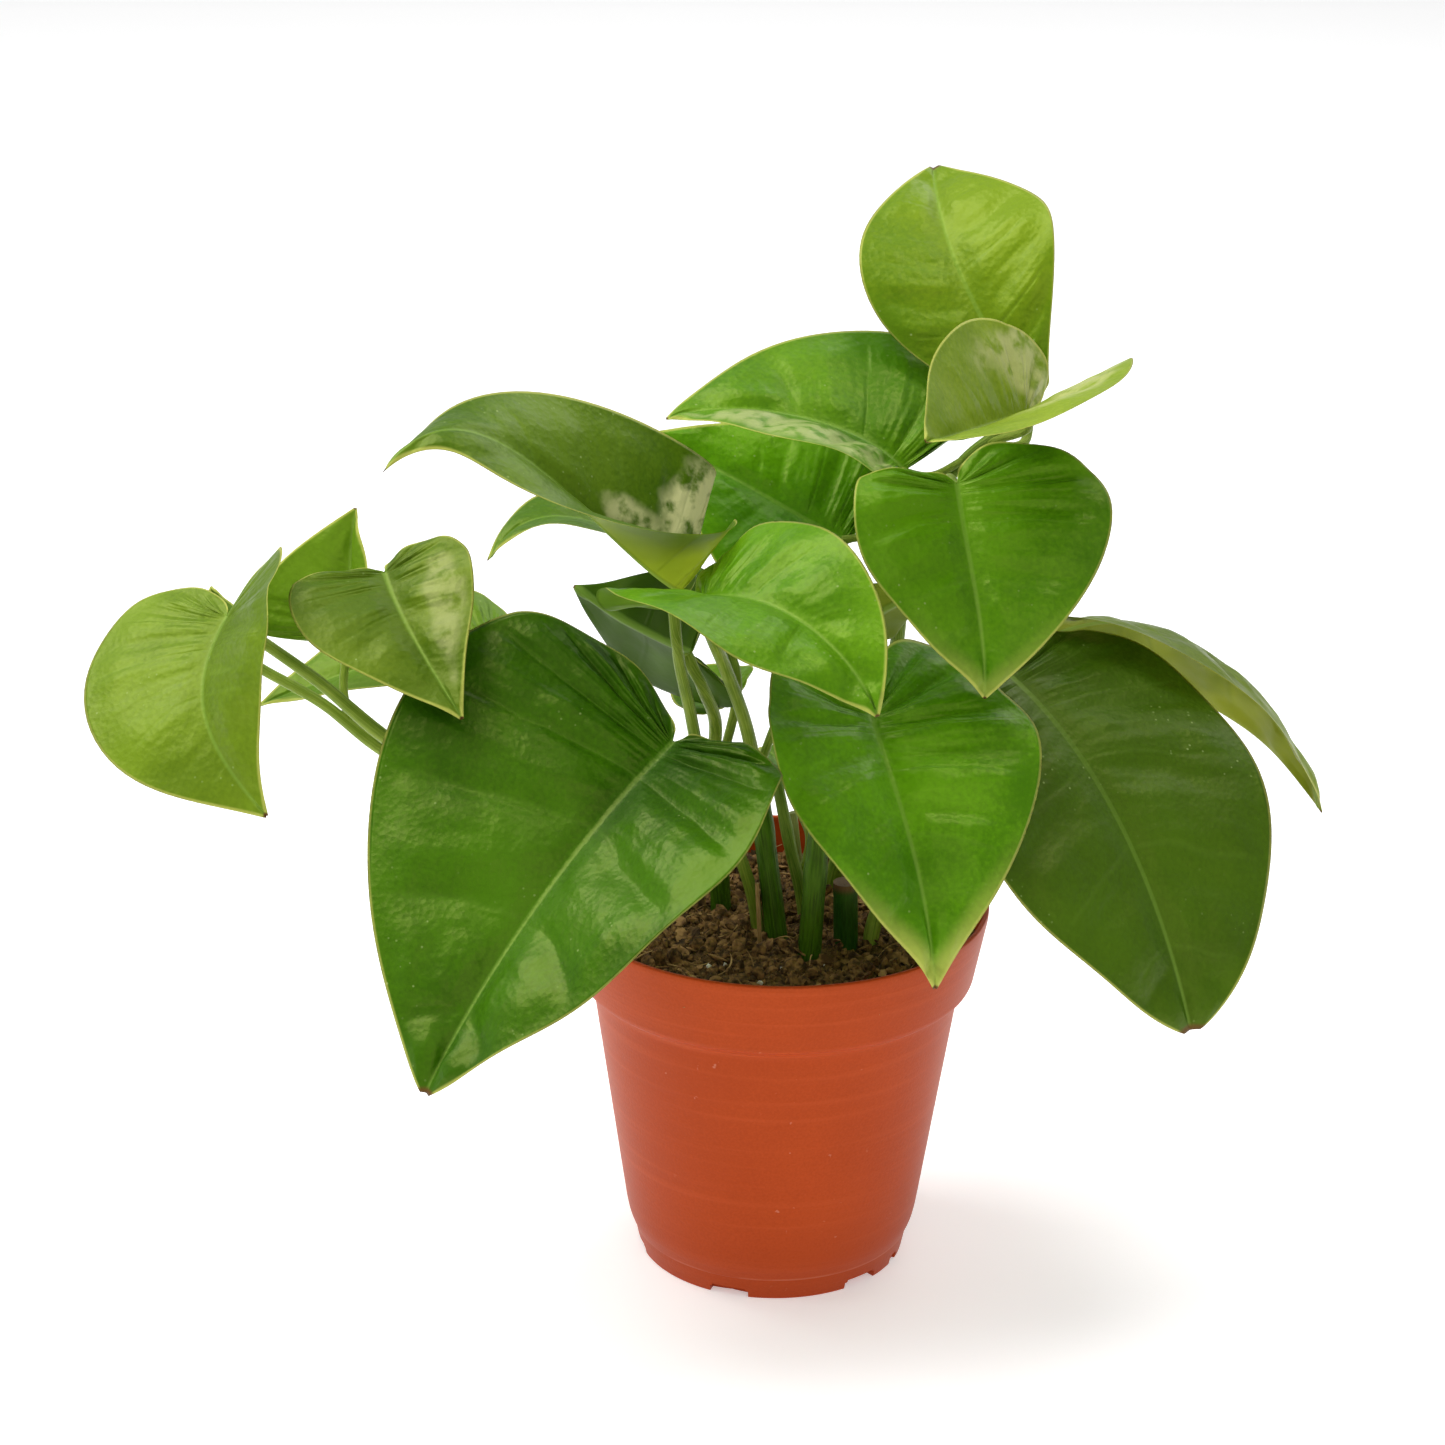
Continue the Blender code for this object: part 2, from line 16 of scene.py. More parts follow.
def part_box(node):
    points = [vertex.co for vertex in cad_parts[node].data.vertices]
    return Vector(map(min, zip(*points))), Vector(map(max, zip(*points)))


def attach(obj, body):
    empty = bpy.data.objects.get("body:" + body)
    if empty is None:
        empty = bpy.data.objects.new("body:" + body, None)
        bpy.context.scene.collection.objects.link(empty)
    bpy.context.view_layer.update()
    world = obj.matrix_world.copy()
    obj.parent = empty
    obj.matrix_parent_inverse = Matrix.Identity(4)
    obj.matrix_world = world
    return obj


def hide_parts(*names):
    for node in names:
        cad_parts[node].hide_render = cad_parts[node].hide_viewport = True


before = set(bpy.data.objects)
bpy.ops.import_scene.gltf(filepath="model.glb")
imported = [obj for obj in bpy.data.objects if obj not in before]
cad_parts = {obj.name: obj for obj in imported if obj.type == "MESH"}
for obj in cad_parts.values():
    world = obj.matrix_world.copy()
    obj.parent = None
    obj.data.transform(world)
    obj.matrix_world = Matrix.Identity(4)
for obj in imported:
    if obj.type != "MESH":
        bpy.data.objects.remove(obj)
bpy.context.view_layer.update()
MM = 0.001


# %% [markdown]
# ## Camera, floor and light
# The plant stands on a plain pale floor and is seen from the front, a little from above, with a
# long lens that keeps the pot's sides nearly upright. The camera is level but for a slight roll.
# Its axes are worked out from the heading, the pitch and the roll, so each can be set by itself.

# %% The camera
EYE = Vector((0.0, -0.905, 0.497))
HEADING, PITCH, ROLL = radians(0.9), radians(21.5), radians(0.85)
LENS = 99.5

forward = Vector((-sin(HEADING) * cos(PITCH), cos(HEADING) * cos(PITCH), -sin(PITCH)))
level_right = forward.cross(Vector((0, 0, 1))).normalized()
level_up = level_right.cross(forward)
right = level_right * cos(ROLL) + level_up * sin(ROLL)
up = level_up * cos(ROLL) - level_right * sin(ROLL)
camera = bpy.data.objects.new("camera", bpy.data.cameras.new("camera"))
camera.data.lens = LENS
camera.matrix_world = Matrix.Translation(EYE) @ Matrix((right, up, -forward)).transposed().to_4x4()
bpy.context.scene.collection.objects.link(camera)
bpy.context.scene.camera = camera
bpy.context.scene.view_settings.view_transform = "Standard"
print("camera looks along", [round(n, 3) for n in forward])

# %% [markdown]
# Studio light is large and soft, so the lights are square panels and not points. The biggest one
# hangs above the plant and to its left, and gives the leathery leaves their broad pale sheen. A
# small one high on the right picks out the top leaves, a weak one fills in from the front, and one
# from behind brings out edges and stalks. The surround fills what shadow is left. The floor glows
# a little, as white paper lit from all sides does.

# %% The floor and the lights
def panel(name, place, target, size, power):
    """A square light panel at a place, turned to face a target."""
    light = bpy.data.lights.new(name, "AREA")
    light.shape, light.size, light.energy = "SQUARE", size, power
    holder = bpy.data.objects.new(name, light)
    holder.location = place
    holder.rotation_euler = (Vector(target) - Vector(place)).to_track_quat("-Z", "Y").to_euler()
    bpy.context.scene.collection.objects.link(holder)


MIDDLE = (0.0, -0.02, 0.15)
panel("key light", (-0.72, 0.06, 1.20), MIDDLE, 1.05, 17.0)
panel("top light", (0.34, -0.04, 1.38), MIDDLE, 0.40, 3.4)
panel("front fill", (0.35, -1.5, 0.9), MIDDLE, 1.2, 4.5)
panel("back light", (0.6, 0.9, 1.2), MIDDLE, 1.0, 5.0)

WHITE, PALE = (1.0, 1.0, 1.0, 1.0), (0.93, 0.93, 0.93, 1.0)
SURROUND, FLOOR_GLOW = 0.38, 0.36
world = bpy.data.worlds.new("surround")
world.use_nodes = True
sky = world.node_tree.nodes["Background"].inputs
sky["Color"].default_value, sky["Strength"].default_value = WHITE, SURROUND
bpy.context.scene.world = world

FLOOR_REACH = 6.0
floor_mesh = bpy.data.meshes.new("floor")
corners = [(x * FLOOR_REACH, y * FLOOR_REACH, 0) for x, y in ((-1, -1), (1, -1), (1, 1), (-1, 1))]
floor_mesh.from_pydata(corners, [], [(0, 1, 2, 3)])
floor = bpy.data.objects.new("floor", floor_mesh)
bpy.context.scene.collection.objects.link(floor)
paper = bpy.data.materials.new("pale floor")
paper.use_nodes = True
sheet = paper.node_tree.nodes["Principled BSDF"].inputs
sheet["Base Color"].default_value, sheet["Roughness"].default_value = PALE, 0.9
sheet["Emission Color"].default_value, sheet["Emission Strength"].default_value = WHITE, FLOOR_GLOW
floor_mesh.materials.append(paper)
print("four panels, a bright surround and a pale floor")

# %% [markdown]
# ## Sums inside a node tree
# Both the leaves' shape and their finish come from formulas. Wiring each sum by hand makes long,
# unreadable code, so this helper lets a formula be written as a formula: arithmetic on a `Flow`
# adds the Math node that does it and gives back that node's result.

# %% A value that flows through a node tree
class Flow:
    """A value in a node tree. Sums with it add the Math nodes that work them out."""
    math_node = "ShaderNodeMath"

    def __init__(self, tree, socket):
        self.tree, self.socket = tree, socket

    def through(self, operation, *others, clamp=False):
        """Adds the Math node of this operation, whose first input is this value."""
        made = self.tree.nodes.new(self.math_node)
        made.operation = operation
        if clamp:
            made.use_clamp = True
        for slot, value in zip(made.inputs, (self,) + others):
            feed(self.tree, slot, value)
        return type(self)(self.tree, made.outputs[0])

    def __add__(self, other): return self.through("ADD", other)
    def __sub__(self, other): return self.through("SUBTRACT", other)
    def __rsub__(self, other): return self * -1.0 + other
    def __mul__(self, other): return self.through("MULTIPLY", other)
    def __pow__(self, other): return self.through("POWER", other)
    def __abs__(self): return self.through("ABSOLUTE")
    def sin(self): return self.through("SINE")
    def cos(self): return self.through("COSINE")
    def above(self, other): return self.through("GREATER_THAN", other)
    def clamped(self): return self.through("ADD", 0.0, clamp=True)

    def ramp(self, low, high):
        """0 below low and 1 above high, with a smooth rise between them. high may be the lower one."""
        part = ((self - low) * (1.0 / (high - low))).clamped()
        return part * part * (3.0 - part * 2.0)

    def blended(self, start, end):
        """start where this value is 0 and end where it is 1."""
        return start + (end - start) * self if isinstance(start, Flow) else self * (end - start) + start


class Arrow(Flow):
    """A vector in a node tree."""
    math_node = "ShaderNodeVectorMath"

    def __mul__(self, number):
        made = self.tree.nodes.new(self.math_node)
        made.operation = "SCALE"
        feed(self.tree, made.inputs[0], self)
        feed(self.tree, made.inputs["Scale"], number)
        return Arrow(self.tree, made.outputs[0])

    def cross(self, other): return self.through("CROSS_PRODUCT", other)
    def normalized(self): return self.through("NORMALIZE")


def feed(tree, slot, value):
    """Gives a socket a number, or links it to the value that flows into it."""
    if isinstance(value, Flow):
        tree.links.new(value.socket, slot)
    else:
        slot.default_value = value


# One letter stands for each kind: vector, float, integer, material and object.
KINDS_OF_INPUT = {"V": "NodeSocketVector", "F": "NodeSocketFloat", "I": "NodeSocketInt",
                  "M": "NodeSocketMaterial", "O": "NodeSocketObject"}


def inputs_of(tree, **kinds):
    """Names a geometry tree's inputs and returns what flows out of each, with the start mesh as Geometry."""
    for way in ("INPUT", "OUTPUT"):
        tree.interface.new_socket("Geometry", in_out=way, socket_type="NodeSocketGeometry")
    for name, kind in kinds.items():
        tree.interface.new_socket(name, in_out="INPUT", socket_type=KINDS_OF_INPUT[kind])
    group = tree.nodes.new("NodeGroupInput")
    flows = {"Geometry": Flow(tree, group.outputs["Geometry"])}
    for name, kind in kinds.items():
        flows[name] = (Arrow if kind == "V" else Flow)(tree, group.outputs[name])
    return flows


def node(tree, kind, result=0, settings=(), **values):
    """Adds a node, sets it and feeds its inputs by name, and returns what flows out of it."""
    made = tree.nodes.new(kind)
    for name, value in dict(settings).items():
        setattr(made, name, value)
    for name, value in values.items():
        wanted = name.replace("_", " ")
        slot = next(slot for slot in made.inputs if slot.name == wanted and slot.enabled)
        feed(tree, slot, value)
    return Flow(tree, made.outputs[result])


def finished(tree, geometry):
    """Sends the geometry out of the tree, with its copies made real, because the export drops instances."""
    real = node(tree, "GeometryNodeRealizeInstances", Geometry=geometry)
    tree.links.new(real.socket, tree.nodes.new("NodeGroupOutput").inputs[0])
    return tree


def axes_of(tree, arrow):
    """The X, Y and Z of a vector that flows."""
    split = tree.nodes.new("ShaderNodeSeparateXYZ")
    feed(tree, split.inputs[0], arrow)
    return [Flow(tree, split.outputs[axis]) for axis in "XYZ"]


def arrow_of(tree, **axes):
    """A vector with these values along X, Y and Z, and 0 along an axis that isn't given."""
    combine = tree.nodes.new("ShaderNodeCombineXYZ")
    for axis, value in axes.items():
        feed(tree, combine.inputs[axis], value)
    return Arrow(tree, combine.outputs[0])


def place_in(tree):
    """Where each point of the geometry is."""
    return Arrow(tree, tree.nodes.new("GeometryNodeInputPosition").outputs[0])


def noise(tree, place, scale, detail=3.0, roughness=0.5):
    """Cloudy noise between 0 and 1. The scale says how many clouds there are to a metre."""
    return node(tree, "ShaderNodeTexNoise", Vector=place, Scale=scale, Detail=detail, Roughness=roughness)


print("node helpers ready")

# %% [markdown]
# ## The leaf blades
# A pothos leaf is one sheet with a rib down its middle. Each half starts behind the joint in a
# round lobe, swells and runs out to the tip, and the two halves fold up or down from the rib on
# their own. It could be sculpted by hand, but then each of the 21 leaves would be separate work.
# The whole shape follows one rule, so Geometry Nodes make it: a flat grid is laid onto the blade.
# One way of the grid goes round the heart from the notch to the tip, and the other goes from the
# left edge over the rib to the right edge. Lines of the second kind leave the rib and bend towards
# the tip as side veins do, so the swelling of the blade between its veins follows them for free.

# %% The widest place of a blade's outline
NOTCH, TIP = 158.0, 5.0       # the outline starts and ends at these angles, in degrees
RIB_REACH = 0.990             # the rib's share that the blade covers


def widest(point, taper):
    """The greatest value of the outline's width formula, which is where its slope is zero."""
    turn = 2 * asin((point / (2 * point + 2 * taper)) ** 0.5)
    return sin(turn) ** point * cos(turn / 2) ** (2 * taper)


print("a blade with point 1.7 and taper 0.8 is widest at", round(widest(1.7, 0.8), 3))

# %% The tree that lays a grid onto a leaf
BLADE_INPUTS = dict(
    Joint="V", Rib_1="V", Rib_2="V", Tip="V", Face="V", Tip_face="V",
    Right_width="F", Right_fold="F", Right_tip_fold="F", Right_lobe="F", Right_point="F",
    Left_width="F", Left_fold="F", Left_tip_fold="F", Left_lobe="F", Left_point="F",
    Taper="F", Sharp="F", Thickness="F", Veins="F", Swell="F", Groove="F", Wave="F", Seed="F",
    Rows="I", Columns="I", Upper_finish="M", Under_finish="M")
VEIN_NOISE, VEIN_SWAY = 38.0, 0.35    # how fine the noise is that bends the side veins, and how far it does
MARGIN_WAVES = 5.0                    # waves along each half's margin
WELD = 0.02 * MM                      # points that are nearer than this become one


def stored(tree, geometry, name, value, kind="FLOAT", domain="POINT"):
    """Keeps a value on the geometry under a name, where a material can read it."""
    return node(tree, "GeometryNodeStoreNamedAttribute", settings={"data_type": kind, "domain": domain},
                Geometry=geometry, Name=name, Value=value)


def rib_place(corners, s):
    """The point at s on the smooth line through the rib's four points."""
    a, b, c, d = corners
    one, two, three = s - 1 / 3, s - 2 / 3, s - 1.0
    return (a * (one * two * three * -4.5) + b * (s * two * three * 13.5)
            + c * (s * one * three * -13.5) + d * (s * one * two * 4.5))


def blade_tree():
    """Builds the node tree that turns an empty mesh into one leaf blade."""
    tree = bpy.data.node_groups.new("leaf blade", "GeometryNodeTree")
    size = inputs_of(tree, **BLADE_INPUTS)
    grid = tree.nodes.new("GeometryNodeMeshGrid")
    grid.inputs["Size X"].default_value = grid.inputs["Size Y"].default_value = 2.0
    feed(tree, grid.inputs["Vertices X"], size["Rows"])
    feed(tree, grid.inputs["Vertices Y"], size["Columns"])

    # Where this point is: row runs from the notch to the tip, across from the left edge to the right.
    grid_x, grid_y, _ = axes_of(tree, place_in(tree))
    row = (grid_x + 1.0) * 0.5
    across = grid_y * -1.0
    outward = abs(across)
    on_right = across.above(0.0)
    sign = on_right * 2.0 - 1.0
    chosen = {word: on_right.blended(size["Left_" + word], size["Right_" + word])
              for word in ("width", "fold", "tip_fold", "lobe", "point")}

    # The outline, and how far along the rib and out from it the point lies.
    turn = row * radians(TIP - NOTCH) + radians(NOTCH)
    opened = (turn.cos() + 1.0) * 0.5
    behind = (turn.cos() * -1.0).above(0.0)
    edge_along = opened * turn.cos() * behind.blended(1.0, chosen["lobe"])
    rib_along = opened ** 5.0
    along = (rib_along + (edge_along - rib_along) * outward ** 1.3) * RIB_REACH
    half_width = chosen["width"] * turn.sin() ** chosen["point"] * opened ** size["Taper"]
    half_width = half_width * (1.0 - edge_along.clamped() ** 4.0 * size["Sharp"])
    reach = half_width * outward

    # The blade's own directions there: forward along the rib, sideways, and up from its face.
    corners = [size[name] for name in ("Joint", "Rib_1", "Rib_2", "Tip")]
    middle = rib_place(corners, along)
    ahead = (rib_place(corners, along + 0.001) - rib_place(corners, along - 0.001)).normalized()
    share = along.clamped()
    face = share.blended(size["Face"], size["Tip_face"])
    sideways = ahead.cross(face).normalized()
    upwards = sideways.cross(ahead)
    fold = share.blended(chosen["fold"], chosen["tip_fold"])
    out_way = sideways * (sign * fold.cos()) + upwards * fold.sin()
    normal = upwards * fold.cos() - sideways * (sign * fold.sin())

    # Relief: swellings between the veins, which fade towards the rib, the margin and both ends.
    flat_place = middle + out_way * reach
    patch = noise(tree, flat_place, VEIN_NOISE, 2.0)
    fine = noise(tree, flat_place, 150.0, 1.0)
    vein = abs((row * size["Veins"] + patch * VEIN_SWAY + size["Seed"]).through("MULTIPLY", pi).sin()) ** 0.7
    inside = outward.ramp(0.02, 0.30) * outward.ramp(1.0, 0.72) * row.ramp(0.10, 0.35) * row.ramp(1.0, 0.93)
    relief = (vein - 0.5) * inside * size["Swell"] * (patch * 2.6 + fine * 0.8)
    relief = relief + (fine - 0.5) * inside * size["Swell"] * 0.7
    # A groove along the rib, and a wavy margin.
    relief = relief - (reach * -650.0).through("EXPONENT") * size["Groove"] * row.ramp(0.04, 0.3)
    wave = (row * MARGIN_WAVES * 2.0 * pi + size["Seed"] * 7.0 + sign).sin()
    relief = relief + wave * outward ** 4.0 * row.ramp(1.0, 0.8) * size["Wave"]

    # The upper and the under face meet in a thin rounded edge, so the blade is a closed body.
    thin = (outward ** 10.0 * -1.0 + 1.0) * row.ramp(0.0, 0.04) * row.ramp(1.0, 0.97)
    half = thin * size["Thickness"] * 0.5
    faces = []
    for side, finish in ((1.0, "Upper_finish"), (-1.0, "Under_finish")):
        mesh = Flow(tree, grid.outputs["Mesh"])
        mesh = stored(tree, mesh, "blade", arrow_of(tree, X=across * 0.5 + 0.5, Y=row), "FLOAT2", "CORNER")
        mesh = stored(tree, mesh, "reach", reach)
        mesh = stored(tree, mesh, "margin", half_width - reach)
        mesh = node(tree, "GeometryNodeSetPosition", Geometry=mesh,
                    Position=flat_place + normal * (relief + half * side))
        if side < 0:
            mesh = node(tree, "GeometryNodeFlipFaces", Mesh=mesh)
        faces.append(node(tree, "GeometryNodeSetMaterial", Geometry=mesh, Material=size[finish]))
    join = tree.nodes.new("GeometryNodeJoinGeometry")
    for face in reversed(faces):
        tree.links.new(face.socket, join.inputs[0])
    welded = node(tree, "GeometryNodeMergeByDistance", Geometry=Flow(tree, join.outputs[0]), Distance=WELD)
    return finished(tree, node(tree, "GeometryNodeSetShadeSmooth", Geometry=welded))


leaf_tree = blade_tree()
print("leaf tree:", len(leaf_tree.nodes), "nodes")

# %% [markdown]
# A tree does nothing by itself. It runs as a modifier on an object, whose inputs are set by each
# socket's identifier. The export needs plain meshes, so the result is copied into a new mesh and
# the modifier's object is thrown away.

# %% Running a tree and keeping its mesh
def grown(name, tree, start=None, **values):
    """Runs a geometry tree on a start mesh, or on an empty one, and returns the result as a plain object."""
    seed = bpy.data.objects.new(name + " seed", start or bpy.data.meshes.new(name + " seed"))
    bpy.context.scene.collection.objects.link(seed)
    modifier = seed.modifiers.new("grow", "NODES")
    modifier.node_group = tree
    for item in tree.interface.items_tree:
        if item.in_out == "INPUT" and item.name in values:
            modifier[item.identifier] = values[item.name]
    graph = bpy.context.evaluated_depsgraph_get()
    mesh = bpy.data.meshes.new_from_object(seed.evaluated_get(graph))
    bpy.data.objects.remove(seed)
    mesh.name = name
    piece = bpy.data.objects.new(name, mesh)
    bpy.context.scene.collection.objects.link(piece)
    return piece


print("grown() keeps a tree's result as a mesh")

# %% [markdown]
# ## The leaves' finish
# The upper face is leathery: deep green, smooth enough for a broad sheen, and finely pebbled. The
# rib is a pale groove, the side veins are thin lines, the margin is a pale thread that browns at
# the tip, and tiny pale specks are scattered over it. Young leaves are yellower, and some leaves
# carry a grey-green film of dried spray. The under face is duller and yellow-green. An image could
# hold all of this, but it would blur close up and would have to be drawn once for each leaf. So it
# is painted by formulas on the blade's own coordinates, which the tree stored on the mesh.

# %% Painting one leaf
def paint_start(name, roughness, **constants):
    """A material with a Principled shader, its tree, and the object coordinates that patterns read."""
    made = bpy.data.materials.new(name)
    made.use_nodes = True
    tree = made.node_tree
    shader = tree.nodes["Principled BSDF"]
    for slot, value in constants.items():
        shader.inputs[slot.replace("_", " ")].default_value = value
    shader.inputs["Roughness"].default_value = roughness
    place = Arrow(tree, tree.nodes.new("ShaderNodeTexCoord").outputs["Object"])
    return made, tree, shader, place


def attribute(tree, name, result="Fac"):
    """What a named attribute of the mesh holds."""
    made = tree.nodes.new("ShaderNodeAttribute")
    made.attribute_name = name
    return Flow(tree, made.outputs[result])


def mixed(tree, factor, base, layer):
    """base where factor is 0 and layer where it is 1. Both are colours or values that flow."""
    made = tree.nodes.new("ShaderNodeMix")
    made.data_type = "RGBA"
    feed(tree, made.inputs[0], factor)
    for slot, value in ((made.inputs[6], base), (made.inputs[7], layer)):
        feed(tree, slot, value if isinstance(value, Flow) else (*value, 1.0))
    return Flow(tree, made.outputs[2])


def bump(tree, shader, height, distance, strength=1.0):
    """Gives the shader a bump from a height that flows, in metres when distance is 1."""
    made = node(tree, "ShaderNodeBump", Height=height, Distance=distance, Strength=strength)
    tree.links.new(made.socket, shader.inputs["Normal"])


def blade_coordinates(tree):
    """Across from -1 to 1, row from 0 to 1, and how far a point is from the rib and from the margin."""
    uv = tree.nodes.new("ShaderNodeUVMap")
    uv.uv_map = "blade"
    u, row, _ = axes_of(tree, Arrow(tree, uv.outputs[0]))
    return u * 2.0 - 1.0, row, attribute(tree, "reach"), attribute(tree, "margin")


def link(tree, flow, shader, slot):
    """Sends a value into one of the shader's inputs."""
    tree.links.new(flow.socket, shader.inputs[slot])


RIB_GREEN = (0.200, 0.340, 0.050)
EDGE_YELLOW = (0.520, 0.520, 0.110)
TIP_BROWN = (0.110, 0.045, 0.015)
SPECK = (0.300, 0.400, 0.130)
FILM = (0.620, 0.610, 0.290)


def upper_paint(name, deep, light, veins, film=(), yellow=0.0, gloss=0.36):
    """The upper face. A film patch holds its place across, its row, its two radii and its strength."""
    made, tree, shader, place = paint_start("leaf upper " + name, gloss, Specular_IOR_Level=0.40,
                                            Specular_Tint=(0.93, 1.0, 0.22, 1.0))
    across, row, reach, margin = blade_coordinates(tree)

    # Cloudy green that grows lighter towards the tip, with pale side veins and a pale rib.
    cloud, grain = noise(tree, place, 28.0), noise(tree, place, 900.0, 2.0)
    colour = mixed(tree, (cloud * 0.75 + grain * 0.25).ramp(0.34, 0.66), deep, light)
    colour = mixed(tree, row.ramp(0.80, 1.0) * 0.35, colour, light)
    line = abs((row * veins + noise(tree, place, VEIN_NOISE, 2.0) * VEIN_SWAY).through("MULTIPLY", pi).sin())
    side_vein = line.ramp(0.16, 0.0) * reach.ramp(0.0, 0.003) * margin.ramp(0.001, 0.008)
    colour = mixed(tree, side_vein * 0.06, colour, RIB_GREEN)
    rib = (reach + row * 0.0006).ramp(0.0013, 0.0005)
    colour = mixed(tree, rib * 0.50, colour, RIB_GREEN)

    # Specks, and patches of film with a ragged edge and holes in them.
    speck = node(tree, "ShaderNodeTexVoronoi", Vector=place, Scale=420.0)
    specks = speck.ramp(0.16, 0.06) * noise(tree, place, 60.0).ramp(0.50, 0.68)
    colour = mixed(tree, specks * 0.7, colour, SPECK)
    for centre, at_row, wide, tall, strength in film:
        spot = ((across - centre) * (1.0 / wide)) ** 2.0 + ((row - at_row) * (1.0 / tall)) ** 2.0
        ragged = (spot + (noise(tree, place, 70.0, 4.0) - 0.5) * 2.2).ramp(1.1, 0.35)
        ragged = ragged * noise(tree, place, 240.0, 4.0).ramp(0.30, 0.56)
        colour = mixed(tree, ragged * strength, colour, FILM)

    # A yellow margin and a brown tip.
    if yellow:
        near_edge = margin.ramp(0.0045, 0.0005) * row.ramp(0.70, 0.94)
        colour = mixed(tree, near_edge * yellow, colour, EDGE_YELLOW)
    colour = mixed(tree, margin.ramp(0.0007, 0.0002) * 0.65, colour, EDGE_YELLOW)
    brown = (row + (noise(tree, place, 300.0) - 0.5) * 0.02).ramp(0.978, 0.992)
    colour = mixed(tree, brown, colour, TIP_BROWN)
    link(tree, colour, shader, "Base Color")

    # Wrinkles that run the way of the side veins, and fine pebbles, as bump.
    wrinkle = noise(tree, arrow_of(tree, X=across * 1.3, Y=row * (veins * 3.4)), 1.0, 1.0)
    inside = reach.ramp(0.0, 0.006) * margin.ramp(0.001, 0.009) * row.ramp(0.08, 0.30)
    pebbles = node(tree, "ShaderNodeTexVoronoi", Vector=place, Scale=650.0)
    height = wrinkle * inside * 0.0017 + pebbles * 0.00012 + noise(tree, place, 330.0, 3.0) * 0.00020
    bump(tree, shader, height - side_vein * 0.00010, 1.0, 0.8)
    link(tree, (noise(tree, place, 90.0) - 0.5) * 0.22 + gloss + specks * 0.15, shader, "Roughness")
    return made


def under_paint(name, deep, light, veins):
    """The under face: dull, yellow-green, with raised veins."""
    made, tree, shader, place = paint_start("leaf under " + name, 0.55, Specular_IOR_Level=0.28,
                                            Specular_Tint=(0.95, 1.0, 0.25, 1.0))
    _, row, reach, margin = blade_coordinates(tree)
    colour = mixed(tree, noise(tree, place, 34.0).ramp(0.35, 0.65), deep, light)
    line = abs((row * veins).through("MULTIPLY", pi).sin())
    side_vein = line.ramp(0.22, 0.0) * reach.ramp(0.0, 0.003) * margin.ramp(0.001, 0.008)
    colour = mixed(tree, side_vein * 0.35, colour, deep)
    rib = reach.ramp(0.0016, 0.0007)
    colour = mixed(tree, rib * 0.6, colour, RIB_GREEN)
    colour = mixed(tree, row.ramp(0.975, 0.992), colour, TIP_BROWN)
    link(tree, colour, shader, "Base Color")
    bump(tree, shader, rib * 0.0004 + side_vein * 0.0002 + noise(tree, place, 600.0) * 0.0001, 1.0, 0.6)
    return made


print("leaf paints ready")

# %% [markdown]
# ## Every leaf's place and size
# A leaf is four points along its rib, the way its upper face looks at the joint and at the tip,
# and for each half its width, its fold at both ends, its lobe and how pointed its outline is.
# Lengths are in millimetres and angles in degrees. They are the CAD model's own numbers, so each
# blade covers the plain solid that it replaces. Only the far left leaf's right half is 0.8 mm
# narrower, to keep its swellings inside the model's box. A table is used because these are plain
# choices: no rule gives the place of one leaf from that of another.

# %% The table of leaves
def half(width, fold, tip_fold, lobe, point):
    """One half of a blade. Its fold is how far it is turned up from the rib."""
    return dict(width=width, fold=fold, tip_fold=tip_fold, lobe=lobe, point=point)


def leaf(rib, face, right, left, tip_face=None, taper=0.8, sharp=0.5, veins=9.0, swell=0.9, wave=0.8):
    """One leaf. Where only one way to face is given, its tip looks the same way."""
    return dict(rib=rib, face=face, tip_face=tip_face or face, right=right, left=left, taper=taper,
                sharp=sharp, veins=veins, swell=swell, wave=wave)


